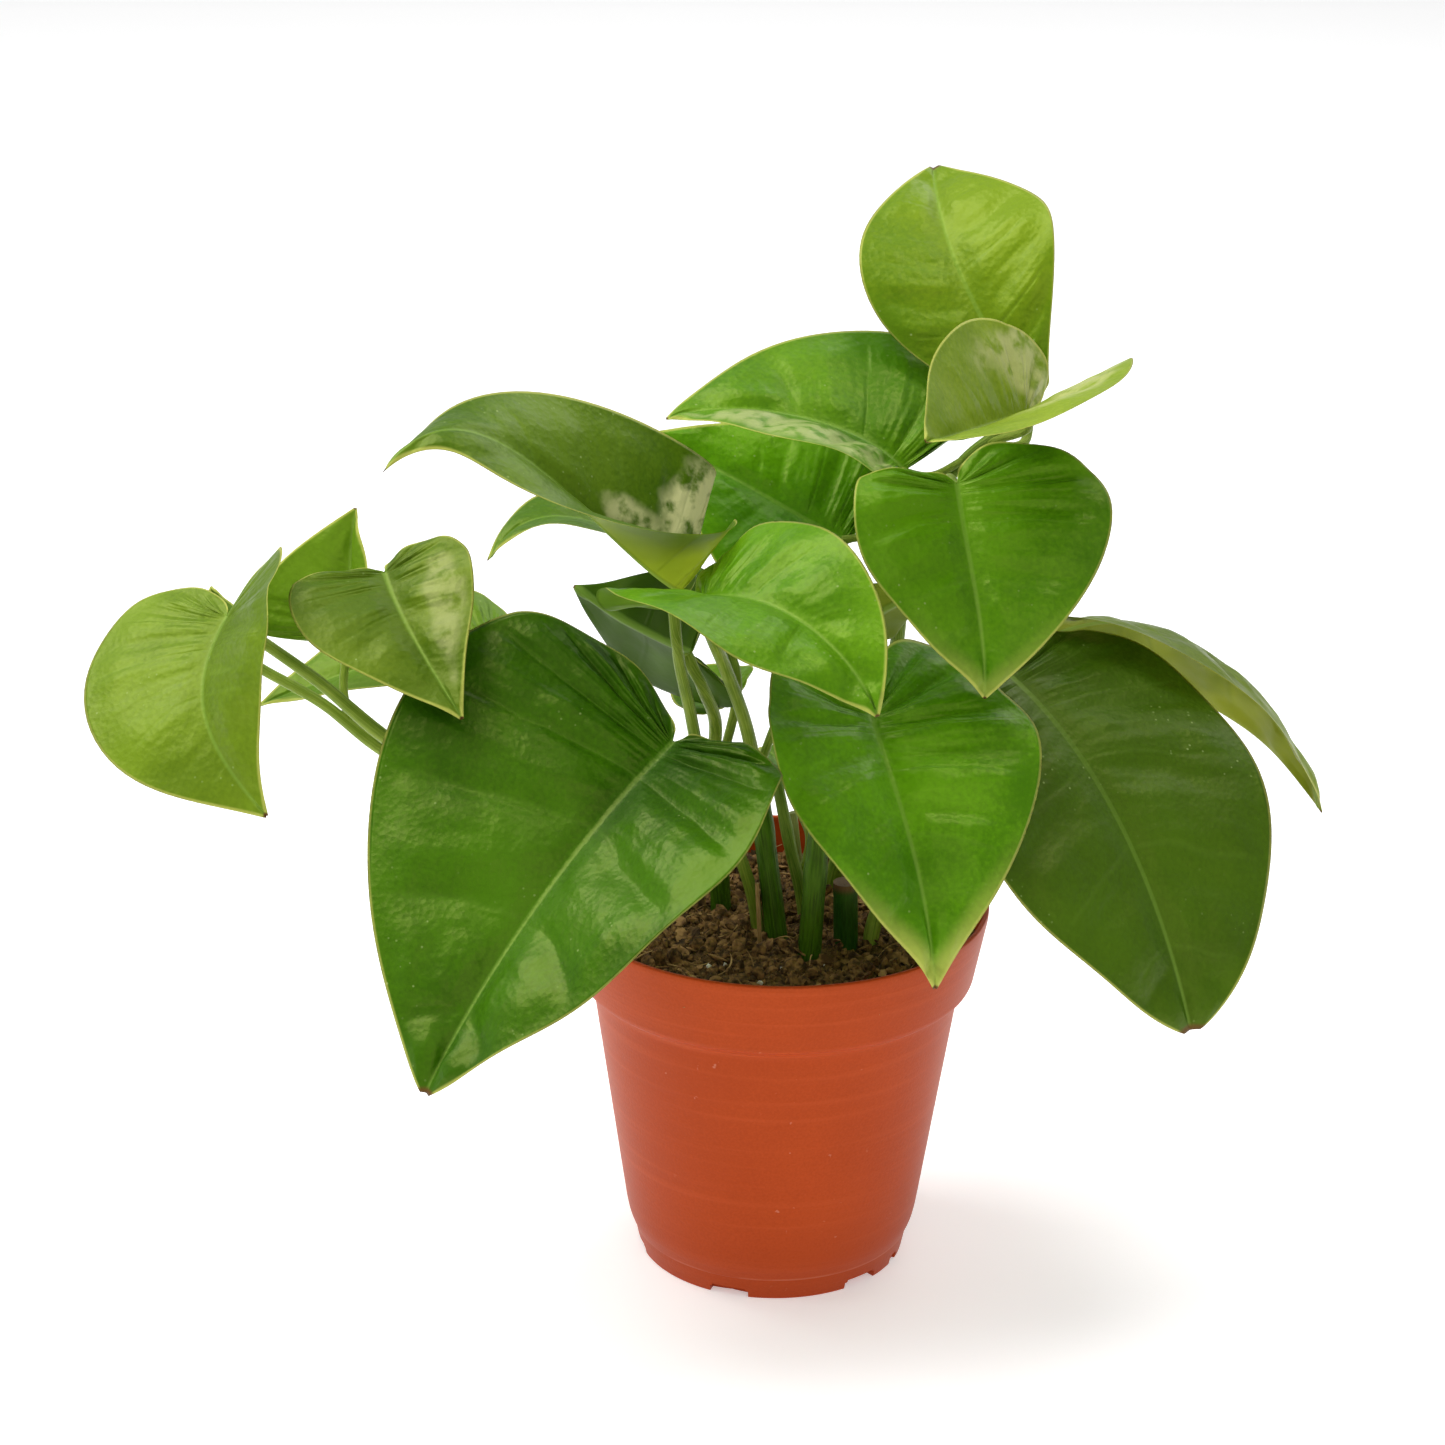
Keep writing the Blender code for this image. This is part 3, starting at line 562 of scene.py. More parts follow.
LEAVES = {
    "front_left": leaf(
        [(-25, -40, 151), (-44, -58, 134), (-63, -76, 111), (-80, -93, 83)], (-0.15, -0.75, 0.6),
        half(57, 5, 5, 0.8, 1.5), half(46, 34, 28, 0.5, 1.4), sharp=0.45, veins=10.0, swell=1.5, wave=1.2),
    "front_middle": leaf(
        [(21, -32, 156), (27, -48, 143), (33, -60, 125), (37, -69, 101)], (0.15, -0.6, 0.8),
        half(31, 20, 20, 2.4, 1.6), half(37, 5, 5, 3.0, 1.6),
        tip_face=(0.2, -0.75, 0.65), sharp=0.65, swell=1.2),
    "front_right": leaf(
        [(54, -5, 157), (73, -22, 140), (88, -38, 115), (99, -50, 82)], (0.3, -0.75, 0.6),
        half(40, 10, 10, 0.4, 1.4), half(43, -18, 10, 0.4, 1.3),
        sharp=0.2, taper=1.3, veins=10.0, swell=1.0, wave=1.2),
    "back_right": leaf(
        [(67, 35, 152), (94, 31, 156), (120, 27, 139), (137, 22, 109)], (0.5, 0.4, 0.7),
        half(28, -20, -20, 0.3, 1.7), half(28, -20, -20, 0.3, 1.7),
        tip_face=(0.8, 0.3, 0.3), sharp=0.3, swell=1.0, wave=0.4),
    "top": leaf(
        [(58, 22, 218), (46, 30, 236), (38, 45, 251), (35, 72, 263)], (-0.2, -0.95, 0.2),
        half(29, 10, 10, 0.3, 1.1), half(26, 15, 15, 0.3, 1.3),
        tip_face=(-0.15, -0.5, 0.85), sharp=0.75, taper=3.5, wave=0.5),
    "centre": leaf(
        [(-19, -35, 185), (-3, -50, 189), (12, -62, 183), (22, -72, 170)], (0.0, -0.35, 0.9),
        half(31, 35, 10, 1.5, 1.7), half(24, 15, 20, 1.0, 1.7), tip_face=(0.0, -0.6, 0.8)),
    "right_middle": leaf(
        [(40, -13, 207), (43, -25, 193), (46, -35, 178), (47, -41, 163)], (0.05, -0.7, 0.7),
        half(28, 18, 15, 0.4, 1.9), half(35, 5, 5, 1.6, 1.9), veins=8.0),
    "upper_folded": leaf(
        [(57, 5, 219), (47, -12, 221), (38, -30, 224), (31, -45, 227)], (0.0, -0.3, 0.95),
        half(25, 58, 50, 2.0, 1.6), half(36, 45, 15, 2.6, 1.5), veins=7.0, swell=0.5, wave=0.3),
    "upper_middle": leaf(
        [(28, 5, 204), (13, 8, 213), (-9, 10, 217), (-30, 10, 214)], (0.0, -0.3, 0.95),
        half(36, 15, 10, 0.1, 2.0), half(26, 32, 10, 0.2, 1.7), wave=0.4),
    "inner_middle": leaf(
        [(15, 20, 181), (1, 25, 187), (-16, 30, 195), (-36, 32, 204)], (0.0, -0.6, 0.8),
        half(26, 10, 10, 0.4, 1.7), half(30, 10, 10, 0.6, 1.7), wave=0.4),
    "curled": leaf(
        [(-25, -10, 177), (-46, -20, 200), (-70, -30, 222), (-93, -40, 214)], (0.2, -0.75, 0.6),
        half(33, 5, -60, 1.0, 2.0), half(24, 140, -30, 0.1, 2.0),
        tip_face=(-0.3, -0.6, 0.6), taper=0.5, swell=0.5, wave=0.2),
    "under_curled": leaf(
        [(-33, 15, 182), (-47, 10, 188), (-60, 5, 190), (-72, 0, 180)], (0.0, -0.1, 1.0),
        half(14, 10, 10, 0.5, 1.7), half(16, 10, 10, 0.4, 1.7),
        tip_face=(-0.3, -0.1, 0.9), veins=6.0, swell=0.4, wave=0.3),
    "far_left": leaf(
        [(-132, -15, 171), (-136, -30, 160), (-132, -42, 149), (-118, -52, 134)], (-0.5, -0.6, 0.6),
        half(33.2, 5, 5, 0.8, 1.7), half(27, 30, 10, 1.9, 1.7),
        tip_face=(-0.3, -0.7, 0.6), veins=8.0, swell=0.5, wave=0.3),
    "mid_left": leaf(
        [(-95, -10, 181), (-90, -22, 175), (-83, -34, 168), (-73, -48, 158)], (0.0, -0.6, 0.8),
        half(25, 10, 10, 0.4, 1.7), half(21, 20, 20, 0.8, 1.7), veins=7.0, swell=0.6, wave=0.4),
    "upright_left": leaf(
        [(-106, 8, 157), (-106, 12, 166), (-106, 17, 176), (-105, 22, 187)], (-0.1, -0.9, 0.4),
        half(9, 40, 40, 1.0, 1.7), half(24, 10, 10, 0.3, 1.7), veins=6.0, swell=0.4, wave=0.3),
    "rolled": leaf(
        [(-134, 5, 157), (-136, 8, 161), (-138, 10, 165), (-140, 12, 169)], (-0.3, -0.9, 0.4),
        half(8, 40, 40, 1.0, 1.7), half(8, 40, 40, 1.0, 1.7), veins=5.0, swell=0.2, wave=0.2),
    "back_left": leaf(
        [(-71, 30, 149), (-90, 25, 148), (-111, 22, 142), (-131, 18, 135)], (0.0, -0.3, 0.95),
        half(19, 10, 10, 0.8, 1.7), half(15, 10, 10, 0.2, 1.7), veins=7.0, swell=0.4, wave=0.4),
    "tucked": leaf(
        [(-22, -5, 160), (-32, 5, 161), (-42, 12, 164), (-52, 18, 169)], (0.0, 0.9, 0.4),
        half(27, 10, 10, 0.05, 1.7), half(20, 60, 60, 0.05, 1.7), veins=7.0, swell=0.5, wave=0.3),
    "small_inner": leaf(
        [(-12, 20, 139), (-18, 25, 138), (-24, 30, 139), (-31, 34, 140)], (0.0, -0.3, 0.95),
        half(13, 10, 10, 0.5, 1.7), half(11, 10, 10, 0.3, 1.7), veins=5.0, swell=0.3, wave=0.3),
    "low_inner": leaf(
        [(2, 28, 115), (0, 33, 116), (-2, 38, 117), (-6, 43, 117)], (0.0, -0.3, 0.95),
        half(9, 10, 10, 1.0, 1.7), half(9, 10, 10, 1.0, 1.7), veins=5.0, swell=0.3, wave=0.2),
    "inner_right": leaf(
        [(18, 8, 163), (23, 7, 167), (28, 6.3, 170), (33, 5, 171.5)], (0.0, 0.8, 0.6),
        half(11.5, 10, 12, 0.7, 1.7), half(12, 8, 12, 0.8, 1.7), veins=5.0, swell=0.3, wave=0.3),
}
print(len(LEAVES), "leaves in the table")

# %% [markdown]
# The leaves differ in their greens. The big low ones are old and dark, and young ones are yellower.
# The tucked one hangs in shade, so its greens are painted darker, as painted shade. One paint that
# takes two greens for each leaf keeps them a family.
# The table also says where film lies, which leaves have a yellow margin, and which ones are duller
# than the rest.

# %% The greens of each leaf
# Each look holds the deep and the light green, then what else upper_paint() takes.
LOOKS = {
    "front_left": ((0.019, 0.078, 0.001), (0.048, 0.149, 0.002), {}),
    "front_middle": ((0.046, 0.163, 0.001), (0.115, 0.325, 0.003), dict(yellow=0.6)),
    "front_right": ((0.032, 0.078, 0.002), (0.050, 0.119, 0.003), dict(gloss=0.42)),
    "back_right": ((0.096, 0.160, 0.003), (0.168, 0.240, 0.006), {}),
    "top": ((0.075, 0.168, 0.002), (0.162, 0.262, 0.006), {}),
    "centre": ((0.053, 0.171, 0.002), (0.114, 0.284, 0.004), {}),
    "right_middle": ((0.035, 0.133, 0.001), (0.088, 0.239, 0.003), dict(yellow=0.3)),
    "upper_folded": ((0.147, 0.240, 0.012), (0.253, 0.347, 0.025),
                     dict(film=[(-0.5, 0.35, 0.5, 0.35, 0.55), (0.6, 0.30, 0.45, 0.35, 0.6)], gloss=0.40)),
    "upper_middle": ((0.045, 0.150, 0.002), (0.106, 0.257, 0.003),
                     dict(film=[(-0.6, 0.66, 0.45, 0.26, 0.42)])),
    "inner_middle": ((0.047, 0.175, 0.002), (0.105, 0.297, 0.002), {}),
    "curled": ((0.037, 0.097, 0.002), (0.092, 0.175, 0.006),
               dict(film=[(0.52, 0.48, 0.60, 0.11, 1.0), (0.18, 0.57, 0.24, 0.12, 0.85)])),
    "under_curled": ((0.048, 0.128, 0.003), (0.112, 0.224, 0.007), {}),
    "far_left": ((0.085, 0.156, 0.005), (0.151, 0.248, 0.010), dict(gloss=0.40)),
    "mid_left": ((0.058, 0.118, 0.003), (0.106, 0.179, 0.006),
                 dict(film=[(-0.62, 0.70, 0.32, 0.22, 0.30)], gloss=0.40)),
    "upright_left": ((0.064, 0.152, 0.003), (0.120, 0.240, 0.007), {}),
    "rolled": ((0.064, 0.152, 0.003), (0.120, 0.240, 0.007), {}),
    "back_left": ((0.056, 0.136, 0.003), (0.104, 0.216, 0.006), {}),
    # The tucked leaf's upper greens are darkened as painted shade, for the shade it hangs in.
    "tucked": ((0.018, 0.070, 0.001), (0.040, 0.120, 0.002), {}),
    "small_inner": ((0.048, 0.144, 0.003), (0.120, 0.256, 0.007), dict(film=[(0.3, 0.6, 0.3, 0.2, 0.5)])),
    "low_inner": ((0.026, 0.098, 0.001), (0.068, 0.190, 0.003), {}),
    "inner_right": ((0.058, 0.128, 0.002), (0.102, 0.192, 0.004), {}),
}
UNDER_LOOKS = {
    "curled": ((0.172, 0.263, 0.008), (0.310, 0.410, 0.015)),
    # The tucked leaf's under greens are darkened as painted shade, for the shade it hangs in.
    "tucked": ((0.027, 0.078, 0.002), (0.054, 0.132, 0.004)),
    "back_right": ((0.140, 0.190, 0.010), (0.260, 0.310, 0.016)),
    "inner_right": ((0.110, 0.170, 0.006), (0.190, 0.250, 0.012)),
}
PLAIN_UNDER = ((0.090, 0.190, 0.012), (0.170, 0.300, 0.024))
YOUNG = ("back_right", "top", "inner_right")
print(len(LOOKS), "upper looks and", len(UNDER_LOOKS) + 1, "under looks")

# %% [markdown]
# Now the tree runs once for each leaf. A long leaf gets more rows than a small one, so that no face
# is too large or needlessly small. Each blade rides on the plant's one body, replaces the CAD leaf
# of its name, and prints how far it stands out of that leaf's box.

# %% Growing every leaf
BLADE_THICKNESS, RIB_GROOVE = 0.45, 0.24
ROWS_TO_A_MM, FEWEST_ROWS, MOST_ROWS, COLUMNS = 1.25, 40, 130, 72
SEED_STEP = 0.37


def half_sizes(label, values, taper):
    """The tree's inputs for one half of a leaf, named by its label."""
    return {label + "_width": values["width"] * MM / widest(values["point"], taper),
            label + "_fold": radians(values["fold"]), label + "_tip_fold": radians(values["tip_fold"]),
            label + "_lobe": values["lobe"], label + "_point": values["point"]}


for number, (name, shape) in enumerate(LEAVES.items()):
    deep, light, extra = LOOKS[name]
    rib = [Vector(point) for point in shape["rib"]]
    rows = max(FEWEST_ROWS, min(MOST_ROWS, int((rib[0] - rib[3]).length * ROWS_TO_A_MM)))
    sizes = dict(zip(("Joint", "Rib_1", "Rib_2", "Tip"), (point * MM for point in rib)))
    for side in ("right", "left"):
        sizes.update(half_sizes(side.capitalize(), shape[side], shape["taper"]))
    blade = grown(
        name + "_blade", leaf_tree, **sizes,
        Face=Vector(shape["face"]).normalized(), Tip_face=Vector(shape["tip_face"]).normalized(),
        Taper=shape["taper"], Sharp=shape["sharp"], Thickness=BLADE_THICKNESS * MM, Veins=shape["veins"],
        Swell=shape["swell"] * MM, Groove=RIB_GROOVE * MM, Wave=shape["wave"] * MM, Seed=SEED_STEP * number,
        Rows=rows, Columns=COLUMNS, Upper_finish=upper_paint(name, deep, light, shape["veins"], **extra),
        Under_finish=under_paint(name, *UNDER_LOOKS.get(name, PLAIN_UNDER), shape["veins"]))
    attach(blade, "root")
    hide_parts(name + "_leaf")
    "young_leaf" if name in YOUNG else "leaf"
    low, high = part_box(name + "_leaf")
    points = [vertex.co for vertex in blade.data.vertices]
    off = [max(low[axis] - min(p[axis] for p in points), max(p[axis] for p in points) - high[axis]) / MM
           for axis in range(3)]
    print(name, "leaf:", len(blade.data.polygons), "faces, past its CAD box by",
          [round(number, 1) for number in off], "mm")

# %% [markdown]
# ## Stems and stalks
# Every stem and stalk is a tube that follows a path. A curve with a bevel could make it, but not
# the rest: a stalk thickens into a knee under its leaf and has a channel along its upper side, and
# a stem is a little swollen at its joints. So one tree sweeps a ring along each path instead. The
# routes are the CAD model's own. Each stalk runs on a little way into the leaf and into the stem
# it grows from, where the CAD solids stop short.

# %% The routes
PLANTED = 66
STEMS = {
    "dark_stem": ([(-13, 8, PLANTED), (-14, 8, 86), (-15, 9, 104), (-17, 10, 123)], 2.8, 2.2),
    "main_stem": ([(2, -11, PLANTED), (0, -10, 88), (-3, -6, 110), (-6, 0, 130)], 2.9, 2.4),
    "right_stem": ([(7, -21, PLANTED), (8, -20, 87), (9, -18, 107), (10, -16, 123)], 3.1, 2.6),
    "cut_stem": ([(17, -14, PLANTED), (17, -14, 86), (16.5, -14, 105)], 3.0, 3.0),
    "tall_stem": ([(11, 19, PLANTED), (14, 20, 91), (22, 24, 122), (28, 22, 152), (29.5, 18, 173),
                   (34, 14, 191), (43, 12, 205), (52, 11, 213)], 2.2, 1.4),
    "sheath": ([(9, 1, PLANTED), (6.5, 2, 91), (3, 4, 106), (-1, 7, 124)], 1.8, 1.4),
    "sheath_stub": ([(10, 9, PLANTED), (6, 9, 93), (3.5, 10, 113)], 1.2, 1.0),
    "left_stem": ([(-16, 26, PLANTED), (-22, 25, 90), (-55, 14, 111), (-89, -9, 134), (-111, -15, 155),
                   (-129.5, -13.5, 168)], 2.1, 1.4),
    "back_left_stem": ([(-10, 36, PLANTED), (-16, 35, 88), (-55, 25, 104), (-92, 5, 126), (-112, 1, 143),
                        (-127, 3, 151), (-132.5, 4.5, 155)], 1.8, 1.3),
    "dry_fibre": ([(-4, -17, 80), (-4, -17, 89), (-5, -16, 105)], 0.6, 0.5),
}
# A stalk's route from its leaf down, its radius, and the stem and the height that it ends at.
STALKS = {
    "front_left": ([(-21, -32, 140), (-15, -20, 125), (-10, -12, 112), (-5, -8, 92), (-4, -7, PLANTED)], 1.5),
    "front_middle": ([(17, -26, 147), (13, -21, 136)], 1.4, "right_stem", 121),
    "front_right": ([(46, 3, 140), (35, 2, 115), (26, -8, 98), (23, -12, 87), (23, -12, PLANTED)], 1.8),
    "back_right": ([(55, 30, 146), (38, 29, 134)], 1.4, "tall_stem", 126),
    "centre": ([(-17, -25, 173), (-14, -14, 161), (-9, -6, 144)], 1.5, "main_stem", 128),
    "right_middle": ([(39, 0, 204)], 1.1, "tall_stem", 199),
    "upper_middle": ([(35, 8, 202)], 0.9, "tall_stem", 205),
    "inner_middle": ([(22, 19, 183)], 1.0, "tall_stem", 187),
    "curled": ([(-25, -12, 163), (-22, -7, 146), (-20, -1, 133)], 1.4, "dark_stem", 116),
    "under_curled": ([(-26, 22, 166), (-14, 20, 153), (-11, 13, 142)], 1.1, "dark_stem", 119),
    "mid_left": ([(-88, -2, 167), (-77, 4, 153), (-64, 11, 133)], 1.2, "left_stem", 113),
    "upright_left": ([(-107, 4, 147)], 1.0, "back_left_stem", 137),
    "back_left": ([(-66, 26, 137)], 1.2, "back_left_stem", 106),
    "tucked": ([(-19, -5, 151), (-16, 3, 139)], 1.5, "dark_stem", 122),
    "small_inner": ([(-8, 14, 134)], 0.8, "main_stem", 126),
    "low_inner": ([(4, 20, 111), (7.5, 10, 106)], 0.8, "sheath", 98),
    "inner_right": ([(10, 13, 152), (1, 12, 141)], 1.0, "main_stem", 128),
    "top": ([(58.5, 22.5, 210), (56, 17, 207)], 1.1, "tall_stem", 208),
    "upper_folded": ([(57, 7, 214)], 1.0, "tall_stem", 209),
}


def smooth_route(points, each=8):
    """A Catmull-Rom line through the points, with this many steps between two of them."""
    points = [Vector(point) for point in points]
    ends = [points[0] * 2 - points[1]] + points + [points[-1] * 2 - points[-2]]
    line = []
    for index in range(len(points) - 1):
        a, b, c, d = ends[index:index + 4]
        for step in range(each):
            t = step / each
            line.append((b * 2 + (c - a) * t + (a * 2 - b * 5 + c * 4 - d) * t ** 2
                         + (b * 3 - a - c * 3 + d) * t ** 3) / 2)
    return line + [points[-1]]


def stalk_route(name):
    """A stalk's route from just inside its leaf to just inside its stem, or into the soil."""
    route, radius, *end = STALKS[name]
    rib = [Vector(point) for point in LEAVES[name]["rib"]]
    ahead = (rib[1] - rib[0]).normalized()
    face = Vector(LEAVES[name]["face"])
    face = (face - ahead * face.dot(ahead)).normalized()
    points = [rib[0] - face * radius * 0.55 + ahead * radius * 0.8] + [Vector(point) for point in route]
    if end:
        stem, height = end
        line = smooth_route(STEMS[stem][0])
        points.append(min(line, key=lambda place: abs(place.z - height)))
    return smooth_route(points)


print(len(STEMS), "stems and", len(STALKS), "stalks")

# %% [markdown]
# The tree turns a line of edges into a curve, gives every point of it a radius, and sweeps a ring
# along it. The swelling of a joint and the channel are the same bell shape, which is 1 at one place
# and falls to 0 on both sides. How far along and how far round a point lies is stored, because the
# finish reads it.

# %% The tree that sweeps a tube along a route
BELL = 9.0    # the greater this is, the narrower a joint's swelling and the channel are


def bell(offset):
    """1 where the offset is 0, falling smoothly to 0 on both sides."""
    return (((offset * BELL) ** 2.0) * -1.0).through("EXPONENT")


def tube_tree():
    """Builds the node tree that turns a line of edges into a tube with swellings and a channel."""
    tree = bpy.data.node_groups.new("stalk", "GeometryNodeTree")
    size = inputs_of(tree, Radius="F", End_radius="F", Knee="F", Joints="F", Joint_swell="F", Channel="F",
                     Step="F", Finish="M")
    curve = node(tree, "GeometryNodeMeshToCurve", Mesh=size["Geometry"])
    curve = node(tree, "GeometryNodeResampleCurve", settings={"mode": "LENGTH"}, Curve=curve,
                 Length=size["Step"])
    along = Flow(tree, tree.nodes.new("GeometryNodeSplineParameter").outputs["Factor"])
    knee = along.ramp(0.13, 0.03) * size["Knee"]
    swell = bell((along * size["Joints"]).through("FRACT") - 0.5) * size["Joint_swell"]
    radius = along.blended(size["Radius"], size["End_radius"]) * (knee + swell + 1.0)
    curve = stored(tree, curve, "along", along)
    curve = node(tree, "GeometryNodeSetCurveNormal", settings={"mode": "Z_UP"}, Curve=curve)
    ring = node(tree, "GeometryNodeCurvePrimitiveCircle", Resolution=20, Radius=1.0)
    round_it = Flow(tree, tree.nodes.new("GeometryNodeSplineParameter").outputs["Factor"])
    ring = stored(tree, ring, "around", round_it)
    ring = node(tree, "GeometryNodeSetPosition", Geometry=ring,
                Position=place_in(tree) * (bell(round_it - 0.25) * size["Channel"] * -1.0 + 1.0))
    tube = node(tree, "GeometryNodeCurveToMesh", Curve=curve, Profile_Curve=ring, Scale=radius,
                Fill_Caps=True)
    smooth = node(tree, "GeometryNodeSetShadeSmooth", Geometry=tube)
    return finished(tree, node(tree, "GeometryNodeSetMaterial", Geometry=smooth, Material=size["Finish"]))


stalk_tree = tube_tree()
print("stalk tree:", len(stalk_tree.nodes), "nodes")

# %% [markdown]
# Stalks are yellow-green with fine lengthways streaks, stems are darker, and both are scarred
# with small tan marks. Stems turn brown where they meet the soil, and the cut stem has a dry
# brown top. Streaks made from plain noise in space would cross a bent stalk, so these read how far
# along and how far round the tube a point lies, and follow every bend.

# %% The stalks' finish
SCAR_TAN, SOIL_BROWN, CUT_BROWN = (0.240, 0.150, 0.055), (0.105, 0.062, 0.026), (0.120, 0.055, 0.025)
STALK_ROUGHNESS = 0.42


def stalk_paint(name, deep, light, brown_low=0.0, brown_top=0.0, scars=0.5):
    """Streaked green, with optional brown at the low end or at the top end of a stem."""
    made, tree, shader, place = paint_start(name, STALK_ROUGHNESS, Specular_IOR_Level=0.32,
                                            Specular_Tint=(0.9, 1.0, 0.3, 1.0))
    along, turn = attribute(tree, "along"), attribute(tree, "around") * 2.0 * pi
    streak = noise(tree, arrow_of(tree, X=turn.cos() * 3.0, Y=turn.sin() * 3.0, Z=along * 4.0), 2.2, 4.0)
    colour = mixed(tree, (streak * 0.7 + noise(tree, place, 120.0) * 0.3).ramp(0.36, 0.64), deep, light)
    marks = noise(tree, place, 260.0, 3.0).ramp(0.66, 0.74) * noise(tree, place, 45.0).ramp(0.52, 0.62)
    colour = mixed(tree, marks * scars, colour, SCAR_TAN)
    if brown_low:
        low_end = (along + (streak - 0.5) * 0.25).ramp(brown_low, brown_low * 0.5)
        colour = mixed(tree, low_end, colour, SOIL_BROWN)
    if brown_top:
        colour = mixed(tree, (along + (streak - 0.5) * 0.04).ramp(brown_top, 0.99), colour, CUT_BROWN)
    link(tree, colour, shader, "Base Color")
    bump(tree, shader, streak * 0.0003 + noise(tree, place, 700.0) * 0.00012, 1.0, 0.6)
    link(tree, marks * 0.3 + STALK_ROUGHNESS, shader, "Roughness")
    return made


GREEN_STALK = stalk_paint("stalk green", (0.120, 0.200, 0.014), (0.260, 0.340, 0.045))
DARK_STEM = stalk_paint("stem green", (0.022, 0.070, 0.002), (0.060, 0.150, 0.005), brown_low=0.30)
PALE_STEM = stalk_paint("pale stem", (0.090, 0.170, 0.012), (0.210, 0.300, 0.040), brown_low=0.12)
CUT_STEM = stalk_paint("cut stem", (0.010, 0.050, 0.004), (0.020, 0.085, 0.007), brown_low=0.1,
                       brown_top=0.93)
SHEATH = stalk_paint("sheath", (0.210, 0.270, 0.060), (0.420, 0.430, 0.160), scars=1.0)
STRAW = stalk_paint("dry fibre", (0.250, 0.140, 0.050), (0.480, 0.300, 0.130))
STEM_FINISH = {"dark_stem": DARK_STEM, "main_stem": DARK_STEM, "right_stem": DARK_STEM, "cut_stem": CUT_STEM,
               "tall_stem": PALE_STEM, "sheath": PALE_STEM, "sheath_stub": SHEATH, "left_stem": GREEN_STALK,
               "back_left_stem": GREEN_STALK, "dry_fibre": STRAW}
print("stalk paints ready")

# %% [markdown]
# All the tubes are swept now, each from a line mesh of its own route. Stems keep a plain round
# section and swell at two joints. Stalks have the knee and the channel. Each replaces the CAD tube
# of its name.

# %% Sweeping every stem and stalk
JOINT_SWELL, STEM_STEP = 0.10, 0.7
KNEE, CHANNEL, STALK_SPREAD, STALK_STEP = 0.22, 0.16, 1.15, 0.6
THINNEST_JOINTED = 1.3    # a thinner stem, in millimetres of radius, has no swollen joints


def line_mesh(name, route):
    """A mesh of one line of edges along a route given in millimetres."""
    mesh = bpy.data.meshes.new(name)
    edges = [(index, index + 1) for index in range(len(route) - 1)]
    mesh.from_pydata([place * MM for place in route], edges, [])
    return mesh


for name, (points, radius, top_radius) in STEMS.items():
    jointed = radius > THINNEST_JOINTED and name != "cut_stem"
    tube = grown(name + "_tube", stalk_tree, line_mesh(name, smooth_route(points)), Radius=radius * MM,
                 End_radius=top_radius * MM, Knee=0.0, Joints=2.0, Channel=0.0, Step=STEM_STEP * MM,
                 Joint_swell=JOINT_SWELL if jointed else 0.0, Finish=STEM_FINISH[name])
    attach(tube, "root")
    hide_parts(name)
for name, (_, radius, *_) in STALKS.items():
    tube = grown(name + "_stalk_tube", stalk_tree, line_mesh(name, stalk_route(name)), Radius=radius * MM,
                 End_radius=radius * STALK_SPREAD * MM, Knee=KNEE, Joints=0.0, Joint_swell=0.0,
                 Channel=CHANNEL, Step=STALK_STEP * MM, Finish=GREEN_STALK)
    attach(tube, "root")
    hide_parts(name + "_stalk")
print("swept", len(STEMS) + len(STALKS), "tubes")

# %% [markdown]
# ## The pot
# A nursery pot is moulded plastic about a millimetre thick: a flared rim band over a slightly
# narrower body, a turned-in heel and a low foot with drain slots. It is the same all the way round,
# so its section is drawn once and turned round the axis. Each corner of the section is rounded, as
# every moulded edge is, and then it catches the light. A Bevel modifier would round the edges too,
# but a radius for each corner is easier to give in the section. The slots are cut out afterwards.

# %% The pot's sizes and its section
POT_HEIGHT, RIM, BAND, BAND_FOOT = 94.4, 52.5, 49.3, 76.0
NECK, NECK_HEIGHT, HEEL, HEEL_HEIGHT, FOOT = 45.7, 72.7, 36.8, 12.0, 33.7
WALL, FLOOR_THICK, LIP_ROUND = 1.2, 3.4, 0.6
SLOT_HEIGHT, SLOT_WIDTH, SLOT_DEPTH, SLOT_FIRST, SLOT_COUNT = 2.5, 10.0, 6.0, -17.5, 6
NARROW_SLOT = (67.0, 4.0)
SLOT_ROUND, SLOT_ROUND_STEPS = 0.7, 3
TURN_STEPS, ARC_STEPS, LIP_STEPS = 144, 4, 10


def rounded(corners, radii):
    """The corners of a section with each one cut back to a small arc of its own radius."""
    line = []
    for index, (corner, radius) in enumerate(zip(corners, radii)):
        here = Vector(corner)
        if not radius:
            line.append(here)
            continue
        before, after = Vector(corners[index - 1]), Vector(corners[index + 1])
        start = here + (before - here).normalized() * min(radius, (before - here).length * 0.45)
        end = here + (after - here).normalized() * min(radius, (after - here).length * 0.45)
        for step in range(ARC_STEPS + 1):
            t = step / ARC_STEPS
            line.append(start * (1 - t) ** 2 + here * 2 * t * (1 - t) + end * t ** 2)
    return line


LIP = [Vector((RIM - LIP_ROUND * (1 - cos(turn)), POT_HEIGHT - LIP_ROUND * (1 - sin(turn))))
       for turn in (pi * step / LIP_STEPS for step in range(LIP_STEPS + 1))]
OUTSIDE = rounded(
    [(0, 0.5), (FOOT - 3.0, 0.5), (FOOT - 3.0, 0), (FOOT - 0.2, 0), (FOOT + 1.0, 5.75), (FOOT + 1.15, 5.9),
     (FOOT + 1.2, 6.1), (HEEL - 0.7, HEEL_HEIGHT - 3.0), (HEEL, HEEL_HEIGHT), (NECK, NECK_HEIGHT - 0.5),
     (NECK + 0.3, NECK_HEIGHT + 0.3), (BAND - 0.4, BAND_FOOT - 0.9), (BAND, BAND_FOOT),
     (RIM - 0.10, POT_HEIGHT - 2.2)],
    [0, 0.3, 0.2, 0.35, 0.1, 0, 0.1, 1.5, 2.0, 0.6, 0.3, 0.3, 0.5, 0])
